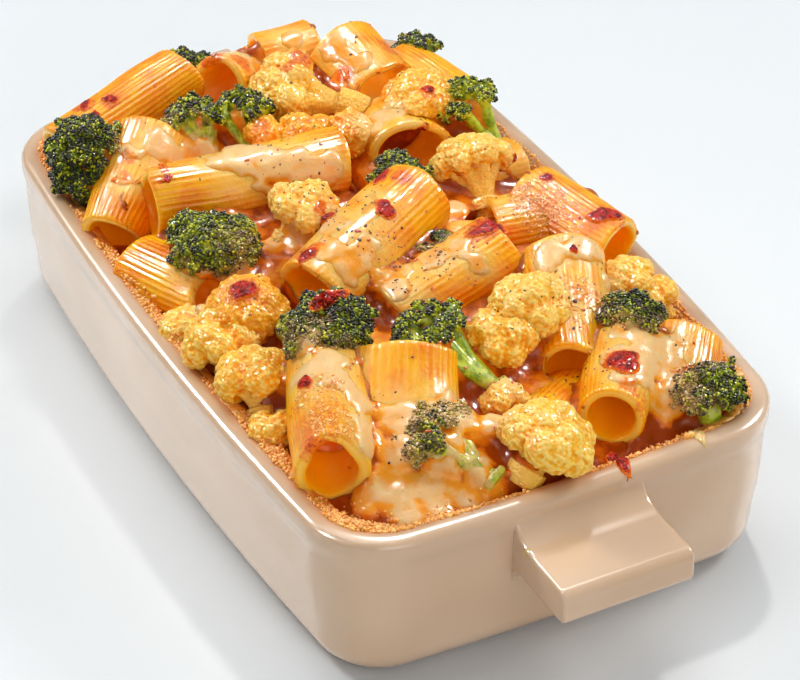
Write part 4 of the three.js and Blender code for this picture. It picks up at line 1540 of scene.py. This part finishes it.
@dataclass
class Sauce:
    """White sauce that beds the heap, fills its creases and lies thick over parts of it."""

    finish: bpy.types.Material
    grid: float = 1.3
    round_off: float = 2.0
    sink: float = 1.15
    open_for: float = 6.0
    open_in: float = 17.0
    edge_drop: float = 5.0
    crown: float = 11.5
    sheet_depth: float = 14.0

    def bed(self, dish: Dish) -> Shape:
        """The level of sauce under the heap, out to the dish's wall."""
        edge = RIM - self.edge_drop + self.sink
        levels = [(dish.lip + 3.0, 26.0), (dish.lip - 0.8, edge - 0.4), (dish.lip + 3, edge + 0.8),
                  (dish.lip + 10, edge + 0.4 * self.crown), (dish.lip + 20, edge + 0.72 * self.crown),
                  (dish.lip + 34, edge + 0.95 * self.crown), (dish.half_width - 3, edge + self.crown)]
        rings = np.array([dish.inset_ring(inset, level) for inset, level in levels])
        return stacked(rings, (np.array([0, 0, levels[0][1]]), np.array([0, 0, levels[-1][1]])))

    def build(self, dish: Dish) -> bpy.types.Object:
        """Makes the sauce over the rough heap.

        Args:
            dish: The dish that holds it.

        Returns:
            The sauce in one closed mesh.
        """
        shapes = [self.bed(dish)] + [item.rough() for item in HEAP] + [self.pool(spot) for spot in POOLS]
        shapes.append(self.sheet())
        piece = to_object("sauce", together(shapes))
        step = self.grid * MM
        modify(piece, "REMESH", mode="VOXEL", voxel_size=step)
        tubes = [item for item in HEAP if isinstance(item, Rigatone)]
        self.clear(piece, tubes)
        self.swell(piece, np.full(len(piece.data.vertices), self.round_off))
        modify(piece, "REMESH", mode="VOXEL", voxel_size=step)
        modify(piece, "SMOOTH", factor=0.5, iterations=4)
        self.swell(piece, np.full(len(piece.data.vertices), -self.round_off))
        places = points_of(piece)
        share, depth = covered(places, POURED, POURED_SEED)
        self.swell(piece, share * (self.sink + 0.2) - self.sink + 0.65 * depth)
        modify(piece, "SMOOTH", factor=0.4, iterations=2)
        places = points_of(piece)
        self.swell(piece, 0.1 * ripple(places, 5.0, 31) + 0.05 * ripple(places, 2.6, 32))
        places = points_of(piece)
        height = places[:, 2] - RIM
        # Sauce inside a tube, painted orange by the finish for light through the pasta's walls.
        store(piece, "within", np.max([tube.holds(places, tube.wall * 0.6) for tube in tubes], axis=0))
        # thick is the sauce's real depth; high makes it creamier high up and hollowness makes it darker in
        # hollows: painted shade low down and in hollows.
        thick = share * (0.58 + 0.42 * ease(depth / 1.1))
        high = 0.42 * ease((height + 3.0) / 10.0)
        store(piece, "cream", np.maximum(thick, high) - 0.4 * hollowness(piece, 5))
        store(piece, "toast", covered(places, BROWNED, BROWNED_SEED)[1])
        smooth_shade(piece)
        dress(piece, self.finish, Slot.SAUCE)
        return piece

    @staticmethod
    def pool(spot: Spot) -> Shape:
        """Sauce that fills a hollow up to a spot's height."""
        small = ball(3)
        size = spot.reach * np.array([1, 1, spot.strength])
        middle = over_rim(spot.middle) - np.array([0, 0, size[2]])
        return Shape(small.points * size + middle, small.faces)

    def sheet(self) -> Shape:
        """The sheet between its corners, as a slab."""
        top = np.array([over_rim(corner) for corner in SHEET])
        count = len(top)
        i = np.arange(count)
        j = (i + 1) % count
        fan = np.array([(0, k, k + 1) for k in range(1, count - 1)])
        sides = [np.stack([i, i + count, j + count], 1), np.stack([i, j + count, j], 1)]
        return Shape(np.concatenate([top, top + self.sheet_depth * DOWN]),
                     np.concatenate([fan, fan[:, ::-1] + count, *sides]))

    def clear(self, piece: bpy.types.Object, tubes: list[Rigatone]) -> None:
        """Keeps the sauce out of the tubes' mouths and from right in front of them."""
        hollows = []
        for tube in tubes:
            deep, out = min(0.5, self.open_in / tube.length), self.open_for / tube.length
            hollows += [tube.plug(first, last, tube.wall * 0.75)
                        for first, last in ((-out, deep), (1 - deep, 1 + out))]
        hollow = to_object("hollow", together(hollows))
        modify(hollow, "REMESH", mode="VOXEL", voxel_size=MM)
        modify(piece, "BOOLEAN", operation="DIFFERENCE", solver="MANIFOLD", object=hollow)
        bpy.data.objects.remove(hollow)
        modify(piece, "REMESH", mode="VOXEL", voxel_size=self.grid * MM)

    @staticmethod
    def swell(piece: bpy.types.Object, by: np.ndarray) -> None:
        """Moves each point along the way it faces."""
        move_points(piece, points_of(piece) + normals_of(piece) * by[:, None])


# ------------------------------------------------------------------ small things on top


@dataclass
class Surface:
    """The outside of everything that is built, to set small things on."""

    pieces: list[bpy.types.Object]
    tree: BVHTree = field(init=False)

    def __post_init__(self) -> None:
        """Gathers the pieces' faces."""
        shapes = []
        for piece in self.pieces:
            piece.data.calc_loop_triangles()
            flat = np.empty(3 * len(piece.data.loop_triangles), dtype=np.int32)
            piece.data.loop_triangles.foreach_get("vertices", flat)
            shapes.append(Shape(points_of(piece), flat.reshape(-1, 3)))
        whole = together(shapes)
        self.tree = BVHTree.FromPolygons(whole.points.tolist(), whole.faces.tolist(), all_triangles=True)

    def hit(self, start: np.ndarray, way: np.ndarray,
            most: float) -> tuple[np.ndarray, np.ndarray] | None:
        """Where a straight line first meets the outside, and the way that it faces there."""
        place, facing, _, _ = self.tree.ray_cast(start.tolist(), way.tolist(), most)
        return None if place is None else (np.array(place), np.array(facing))


@dataclass(frozen=True)
class Blister:
    """A bubble of sauce that has burnt dark.

    reach is its half width, stretch its length over its width, turn the way of its length in
    degrees, and rise its height. depth is how far it goes into what it lies on.
    """

    middle: Point
    reach: float
    stretch: float = 1.0
    turn: float = 0.0
    rise: float = 0.9
    depth: float = 0.7
    sides: int = 30
    rings: int = 9

    def build(self, surface: Surface) -> tuple[Shape, np.ndarray]:
        """Makes the bubble over what lies at its place.

        Args:
            surface: What it lies on.

        Returns:
            The closed bubble, and for each point how near the rim it is.
        """
        near, facing, _, _ = surface.tree.find_nearest(over_rim(self.middle).tolist())
        near, facing = np.array(near), unit(np.array(facing) + np.array([0.2, 0.0, 0.9]))
        axes = basis(facing)
        turn = math.radians(self.turn)
        random = np.random.default_rng(number_of(str(self.middle)))
        wander = random.uniform(0, 2 * math.pi, 3)
        spokes = []
        for side in range(self.sides):
            angle = 2 * math.pi * side / self.sides
            uneven = 1 + 0.14 * math.sin(2 * angle + wander[0]) + 0.12 * math.sin(3 * angle + wander[1])
            uneven += 0.07 * math.sin(5 * angle + wander[2])
            x, y = math.cos(angle) * self.reach * self.stretch, math.sin(angle) * self.reach
            turned = [x * math.cos(turn) - y * math.sin(turn), x * math.sin(turn) + y * math.cos(turn)]
            spokes.append(np.array(turned) * uneven)
        shares = np.arange(1, self.rings + 1) / self.rings
        edge = np.append(0.0, np.repeat(shares, self.sides))
        places = [near] + [near + axes[:, :2] @ (spoke * share) for share in shares for spoke in spokes]
        hits = [surface.hit(place + facing * 5.0, -facing, 8.0) for place in places]
        base = np.array([hit[0] if hit else place - facing * 0.8 for hit, place in zip(hits, places)])
        grain = ripple(base, 0.9, 4) * 0.16 + ripple(base, 2.0, 9) * 0.14
        height = self.rise * (1 - edge ** 2.2) ** 0.55 * (0.85 + grain)
        top, bottom = base + facing * height[:, None], base - facing * self.depth
        shape = Shape(np.concatenate([top, bottom]), self.faces(len(top)))
        return shape, np.concatenate([edge, np.ones(len(top))])

    def faces(self, count: int) -> np.ndarray:
        """The triangles over a top and a bottom net of a number of points, middle first, and round them."""
        sides = [(i, (i + 1) % self.sides) for i in range(self.sides)]
        last = 1 + (self.rings - 1) * self.sides
        net = [(0, 1 + i, 1 + j) for i, j in sides]
        for inner in range(1, last, self.sides):
            outer = inner + self.sides
            for i, j in sides:
                net += [(inner + i, outer + i, outer + j), (inner + i, outer + j, inner + j)]
        rim = [(last + i, count + last + i, count + last + j) for i, j in sides]
        rim += [(last + i, count + last + j, last + j) for i, j in sides]
        return np.concatenate([net, np.array(net)[:, ::-1] + count, rim])


BLISTERS = [
    Blister((-43, -46, 18), 2.9, 1.1, 30), Blister((-56, -53, 11), 2.3, 1.3, 60),
    Blister((-60, -49, 14), 1.4), Blister((19, -50, 20), 3.0, 1.6, 10),
    Blister((13, -28, 20), 2.4, 1.5, 70), Blister((8, -2, 23), 2.8, 1.3, 20),
    Blister((-7, 5, 24), 2.2, 2.2, 10, 0.6), Blister((-3, -14, 19), 1.7, 1.4, 80),
    Blister((26, 21, 20), 3.2, 1.7, 20), Blister((27, 58, 15), 3.4, 1.5, 5, 1.4),
    Blister((6, 51, 17), 1.7, 1.2), Blister((89, 27, 16), 4.3, 1.25, 0, 1.3),
    Blister((108, 15, 0), 2.3, 2.4, 80), Blister((62, -52, 16), 1.8, 1.6, 10),
    Blister((-71, 28, 15), 2.2, 1.6, 20), Blister((-85, -48, 15), 1.2),
    Blister((-91, -49, 16), 1.8, 1.8, 20, 0.6), Blister((-88, -42, 17), 1.5, 1.7, 20, 0.6),
    Blister((-81, 18, 21), 1.5, 1.5), Blister((-45, 40, 22), 1.6, 1.5),
    Blister((43, -37, 29), 2.6, 2.0, 20, 0.8), Blister((-36, 33, 15), 1.3, 1.8, 20, 0.5),
    Blister((46, 36, 20), 1.3), Blister((-13, 58, 9), 1.5),
]

# The drop of sauce on the rim and the smear on the handle's side.
DRIPS = [Blister((108.8, 38.5, 0.3), 1.7, 2.3, 80, 0.8), Blister((120, -19.5, -9), 0.8, 2.0, 70, 0.12)]

# Where pepper lies thinly over the whole heap, and where it lies thickly. The strength is
# its number of grains.
DUSTED = [Spot((x, y, 0), 18.0, 11) for x in range(-80, 91, 28) for y in (-38, 0, 38)]
PEPPERED = spots_of([
    (-14, -14, 0, 12, 45), (-28, -12, 0, 14, 45), (8, -8, 0, 15, 70), (26, -2, 0, 11, 45),
    (30, 14, 0, 11, 25), (62, 28, 0, 11, 25), (80, 0, 0, 10, 20), (84, 22, 0, 11, 20),
    (58, 8, 0, 9, 12),
])

# Where sauce has baked to a froth of fine bubbles. The strength is their number.
FROTHED = spots_of([
    (81, -57, 0, 8, 420), (68, -52, 0, 7, 200), (12, 45, 0, 8, 500), (60, 30, 0, 8, 200),
    (21, 50, 0, 5, 60),
])


@dataclass
class Sprinkling:
    """Small grains of one kind, scattered over spots of the heap.

    size is a grain's three half sizes, and each spot's strength is its number of grains. No
    grain lies past half_length and half_width, lower than lowest against the rim, or on a
    face that looks up less than least_up.
    """

    name: str
    finish: GrainFinish
    size: Point
    spots: list[Spot]
    lift: float = 0.1
    spread: float = 0.35
    half_length: float = 103.0
    half_width: float = 60.0
    lowest: float = -9.0
    least_up: float = 0.1

    def build(self, surface: Surface) -> None:
        """Drops the grains on the surface, in one mesh.

        Args:
            surface: What they lie on.
        """
        random = np.random.default_rng(number_of(self.name))
        places, ways = [], []
        for spot in self.spots:
            middle = over_rim(spot.middle)
            for _ in range(int(spot.strength)):
                angle, far = random.uniform(0, 2 * math.pi), spot.reach * math.sqrt(random.random())
                start = middle + np.array([far * math.cos(angle), far * math.sin(angle), 40.0])
                found = surface.hit(start, DOWN, 90.0)
                inside = abs(start[0]) < self.half_length and abs(start[1]) < self.half_width
                if not inside or not found:
                    continue
                place, way = found
                if place[2] > RIM + self.lowest and way[2] > self.least_up:
                    places.append(place + way * self.lift)
                    ways.append(way)
        places, ways = np.array(places), np.array(ways)
        turns = np.array([basis(way) for way in ways]) @ self.spins(len(ways), random)
        sizes = np.array(self.size) * random.lognormal(0, self.spread, (len(places), 1))
        sizes = sizes * random.uniform(0.7, 1.3, (len(places), 3))
        grain = ball(1)
        grain.points *= 1 + 0.18 * random.normal(size=(len(grain.points), 1))
        piece = to_object(self.name, sprinkled(grain, places, sizes, turns))
        store(piece, "shade", np.repeat(random.random(len(places)), len(grain.points)))
        face_outwards(piece)
        dress(piece, self.finish.make(), Slot.SAUCE)

    @staticmethod
    def spins(count: int, random: np.random.Generator) -> np.ndarray:
        """Turns about the third axis."""
        angle = random.uniform(0, 2 * math.pi, count)
        cosine, sine, zero, one = np.cos(angle), np.sin(angle), np.zeros(count), np.ones(count)
        rows = [[cosine, -sine, zero], [sine, cosine, zero], [zero, zero, one]]
        return np.array(rows).transpose(2, 0, 1)


@dataclass
class Crumbs:
    """Golden breadcrumbs baked on in a bank along the inside of the dish's rim.

    size is a crumb's radius, density the number of loose crumbs to a millimetre of rim where
    they lie thickest, and lowest and highest are where they lie against the rim.
    """

    finish: GrainFinish
    size: float = 0.34
    density: float = 19.0
    lowest: float = -6.5
    highest: float = 1.5

    def thickness(self, x: float, y: float) -> float:
        """How thick the crumbs lie at a place on the rim, 0 to 1."""
        left = float(np.interp(x, [-112, -90, -40, 0, 60, 95, 108], [0.8, 0.75, 0.8, 0.95, 1.0, 1.0, 0.9]))
        front = float(np.interp(y, [-60, -45, -20, 10, 35, 50, 62], [0.9, 0.6, 0.4, 0.3, 0.45, 0.8, 1.0]))
        right = float(np.interp(x, [-80, 20, 50, 80, 108], [0.3, 0.4, 0.6, 0.85, 0.95]))
        return max(0.1, left * (y < -50), front * (x > 95), right * (y > 50))

    def bank(self, dish: Dish) -> bpy.types.Object:
        """The solid bank under the loose crumbs, a closed ring against the wall."""
        points, normals = dish.outline(24)
        flat = np.zeros(len(points))
        places = np.column_stack([points, flat])
        thick = np.array([self.thickness(*point) for point in points]) * (1 + 0.25 * ripple(places, 12, 3))
        thin, wave, lip = 1 - thick, ripple(places, 4, 8), dish.lip + flat
        section = [(lip - 2.1, -0.1 - 2.4 * thin),
                   (lip + 0.3 + 0.8 * thick, -0.5 - 2.6 * thin),
                   (lip + 1.2 + 2.2 * thick + 0.5 * wave, -2.6 - 2.4 * thin),
                   (lip + 1.6 + 3.0 * thick + 0.8 * wave, flat - 6.5),
                   (lip + 1.4, flat - 10.0),
                   (lip + 0.4, flat - 5.0)]
        rings = [np.column_stack([points - normals * inset[:, None], RIM + level])
                 for inset, level in section]
        around = len(points)
        i = np.arange(around)
        j = (i + 1) % around
        levels = [(k * around, (k + 1) % len(rings) * around) for k in range(len(rings))]
        faces = [np.stack([low + i, low + j, high + j], 1) for low, high in levels]
        faces += [np.stack([low + i, high + j, high + i], 1) for low, high in levels]
        piece = to_object("crumb_bank", Shape(np.concatenate(rings), np.concatenate(faces)))
        modify(piece, "REMESH", mode="VOXEL", voxel_size=0.8 * MM)
        places = points_of(piece)
        move_points(piece, places + normals_of(piece) * (0.25 * ripple(places, 2.4, 12))[:, None])
        store(piece, "shade", 0.5 + 0.3 * ripple(points_of(piece), 2.0, 6))
        face_outwards(piece)
        smooth_shade(piece)
        dress(piece, self.finish.make(), Slot.SAUCE)
        return piece

    def build(self, dish: Dish, surface: Surface) -> None:
        """Strews the loose crumbs along the rim, in one mesh.

        Args:
            dish: The dish.
            surface: What they lie on.
        """
        random = np.random.default_rng(77)
        points, normals = dish.outline()
        places, sizes = [], []
        steps = np.linalg.norm(np.roll(points, -1, 0) - points, axis=1)
        clumps = 1 + 0.35 * ripple(np.column_stack([points, np.zeros(len(points))]), 14, 3)
        for index, (point, normal, step) in enumerate(zip(points, normals, steps)):
            thick = self.thickness(*point)
            onward = points[(index + 1) % len(points)] - point
            for _ in range(int(step * (self.density * thick * clumps[index] + 0.4))):
                inset = dish.lip - 2.3 + abs(random.normal()) * (0.9 + 2.5 * thick)
                spot = point + onward * random.random() - normal * inset
                found = surface.hit(np.array([*spot, RIM + 30]), DOWN, 60.0)
                if not found or not self.lowest < found[0][2] - RIM < self.highest:
                    continue
                size = self.size * random.lognormal(0, 0.35)
                places.append(found[0] + np.array([0, 0, size * 0.3]))
                sizes.append(size * random.uniform(0.7, 1.3, 3))
        grain = ball(1)
        grain.points *= 1 + 0.2 * random.normal(size=(len(grain.points), 1))
        turns = any_turns(len(places), 5)
        piece = to_object("breadcrumbs", sprinkled(grain, np.array(places), np.array(sizes), turns))
        store(piece, "shade", np.repeat(random.random(len(places)), len(grain.points)))
        face_outwards(piece)
        dress(piece, self.finish.make(), Slot.SAUCE)


@dataclass
class Toppings:
    """Blisters, crumbs and flecks."""

    dish: Dish
    surface: Surface
    crumbs: Crumbs
    stoneware: bpy.types.Object
    sauce: bpy.types.Material

    def build(self) -> None:
        """Makes all of them."""
        self.blisters()
        self.drips()
        self.crumbs.build(self.dish, self.surface)
        seasoned = DUSTED + PEPPERED
        halved = [Spot(spot.middle, spot.reach, spot.strength // 2) for spot in seasoned]
        single = [Spot(spot.middle, spot.reach, 1) for spot in DUSTED]
        for kind in (
            Sprinkling("pepper", GrainFinish("pepper", srgb(34, 20, 14), srgb(120, 56, 20)),
                       (0.27, 0.2, 0.12), seasoned, spread=0.45),
            Sprinkling("chilli", GrainFinish("chilli", srgb(190, 50, 10), srgb(224, 110, 20), 0.35),
                       (0.32, 0.24, 0.12), halved),
            Sprinkling("herb", GrainFinish("herb", srgb(30, 46, 18), srgb(84, 104, 34), 0.4),
                       (0.8, 0.35, 0.14), single, spread=0.3),
            Sprinkling("froth", GrainFinish("froth", srgb(255, 206, 110), srgb(246, 150, 40), 0.3),
                       (0.27, 0.24, 0.16), FROTHED, lift=0.0),
        ):
            kind.build(self.surface)

    def blisters(self) -> None:
        """Makes the burnt bubbles in one mesh."""
        made = [blister.build(self.surface) for blister in BLISTERS]
        piece = to_object("blisters", together([shape for shape, _ in made]))
        store(piece, "edge", np.concatenate([edge for _, edge in made]))
        face_outwards(piece)
        smooth_shade(piece)
        dress(piece, BlisterFinish().make(), Slot.SAUCE)

    def drips(self) -> None:
        """Makes the sauce that has run over the dish."""
        glaze = Surface([self.stoneware])
        piece = to_object("drips", together([drop.build(glaze)[0] for drop in DRIPS]))
        store(piece, "cream", np.full(len(piece.data.vertices), 1.2))
        face_outwards(piece)
        smooth_shade(piece)
        dress(piece, self.sauce, Slot.SAUCE)


# ------------------------------------------------------------------ studio


@dataclass
class Studio:
    """Pale floor, soft lights and the camera.

    glints are small lamps that show in gloss alone, with their places in metres.
    """

    eye: Point = (671.289, -346.558, 574.055)
    turn: Point = (53.82474, -0.21302, 62.34259)
    lens: float = 147.422
    sensor: float = 36.0
    glints: tuple[Point, ...] = ((-0.9, -0.5, 0.9), (-0.5, 0.35, 1.2), (0.1, 1.0, 0.9), (-0.2, -1.0, 1.0))

    def build(self) -> None:
        """Sets the scene round the dish."""
        bpy.ops.object.camera_add(location=[MM * value for value in self.eye],
                                  rotation=[math.radians(value) for value in self.turn])
        camera = bpy.context.active_object
        camera.data.lens = self.lens
        camera.data.sensor_width = self.sensor
        camera.data.clip_start, camera.data.clip_end = 0.05, 20.0
        bpy.context.scene.camera = camera
        self.floor()
        self.lamp("overhead", (-0.3, 0.0, 1.3), 0.8, 4.6)
        self.lamp("back_left", (-0.9, -0.55, 0.9), 0.3, 6.8)
        self.lamp("back_right", (0.0, 1.1, 0.9), 0.4, 5.8)
        self.lamp("front", (1.4, -0.2, 0.7), 1.0, 6.6)
        for index, place in enumerate(self.glints):
            self.lamp(f"glint_{index}", place, 0.08, 20.0, only_gloss=True)
        self.sky()

    def floor(self) -> None:
        """The pale surface that the dish stands on."""
        bpy.ops.mesh.primitive_plane_add(size=6.0)
        floor = bpy.context.active_object
        floor.name = "floor"
        recipe = Recipe("floor")
        recipe.set(base_color=srgb(212, 217, 221), roughness=0.5)
        floor.data.materials.append(recipe.material)

    def lamp(self, name: str, place: Point, size: float, power: float, only_gloss: bool = False) -> None:
        """A lamp that faces the dish.

        Args:
            name: Its name.
            place: Where it hangs, in metres.
            size: Its width, in metres.
            power: Its power, in watts.
            only_gloss: Whether it is seen in gloss alone.
        """
        back = Vector(place) - Vector((0.0, 0.0, 0.03))
        turn = back.to_track_quat("Z", "Y").to_euler()
        bpy.ops.object.light_add(type="AREA", location=place, rotation=turn)
        light = bpy.context.active_object
        light.name = name
        light.data.size = size
        light.data.energy, light.data.color = power, (1.0, 0.985, 0.955)
        light.visible_diffuse = not only_gloss

    def sky(self) -> None:
        """Even light from all sides."""
        world = bpy.data.worlds.new("studio")
        world.use_nodes = True
        back = world.node_tree.nodes["Background"]
        back.inputs["Color"].default_value = (*srgb(236, 241, 247), 1.0)
        back.inputs["Strength"].default_value = 0.32
        bpy.context.scene.world = world


def main() -> None:
    """Builds the dish, the heap, the sauce and what lies on them."""
    logging.basicConfig(level=logging.INFO, format="%(name)s %(message)s")
    view = bpy.context.scene.view_settings
    view.view_transform = "Standard"
    view.look = "Medium High Contrast"
    finishes = {
        Slot.STONEWARE: GlazeFinish().make(),
        Slot.PASTA: PastaFinish().make(),
        Slot.SAUCE: SauceFinish().make(),
        Slot.BROCCOLI: BroccoliFinish().make(),
        Slot.CAULIFLOWER: CauliflowerFinish().make(),
    }
    dish = Dish()
    stoneware = dish.build(finishes[Slot.STONEWARE])
    heap = Heap(finishes)
    heap.build()
    sauce = Sauce(finishes[Slot.SAUCE]).build(dish)
    crumbs = Crumbs(GrainFinish("crumb", srgb(255, 200, 100), srgb(232, 146, 44), 0.5))
    bank = crumbs.bank(dish)
    Toppings(dish, Surface([stoneware, sauce, bank, *heap.pieces]), crumbs, stoneware,
             finishes[Slot.SAUCE]).build()
    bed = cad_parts["sauce_filling"]
    bed.data.materials.clear()
    bed.data.materials.append(finishes[Slot.SAUCE])
    Studio().build()


if __name__ == "__main__":
    main()
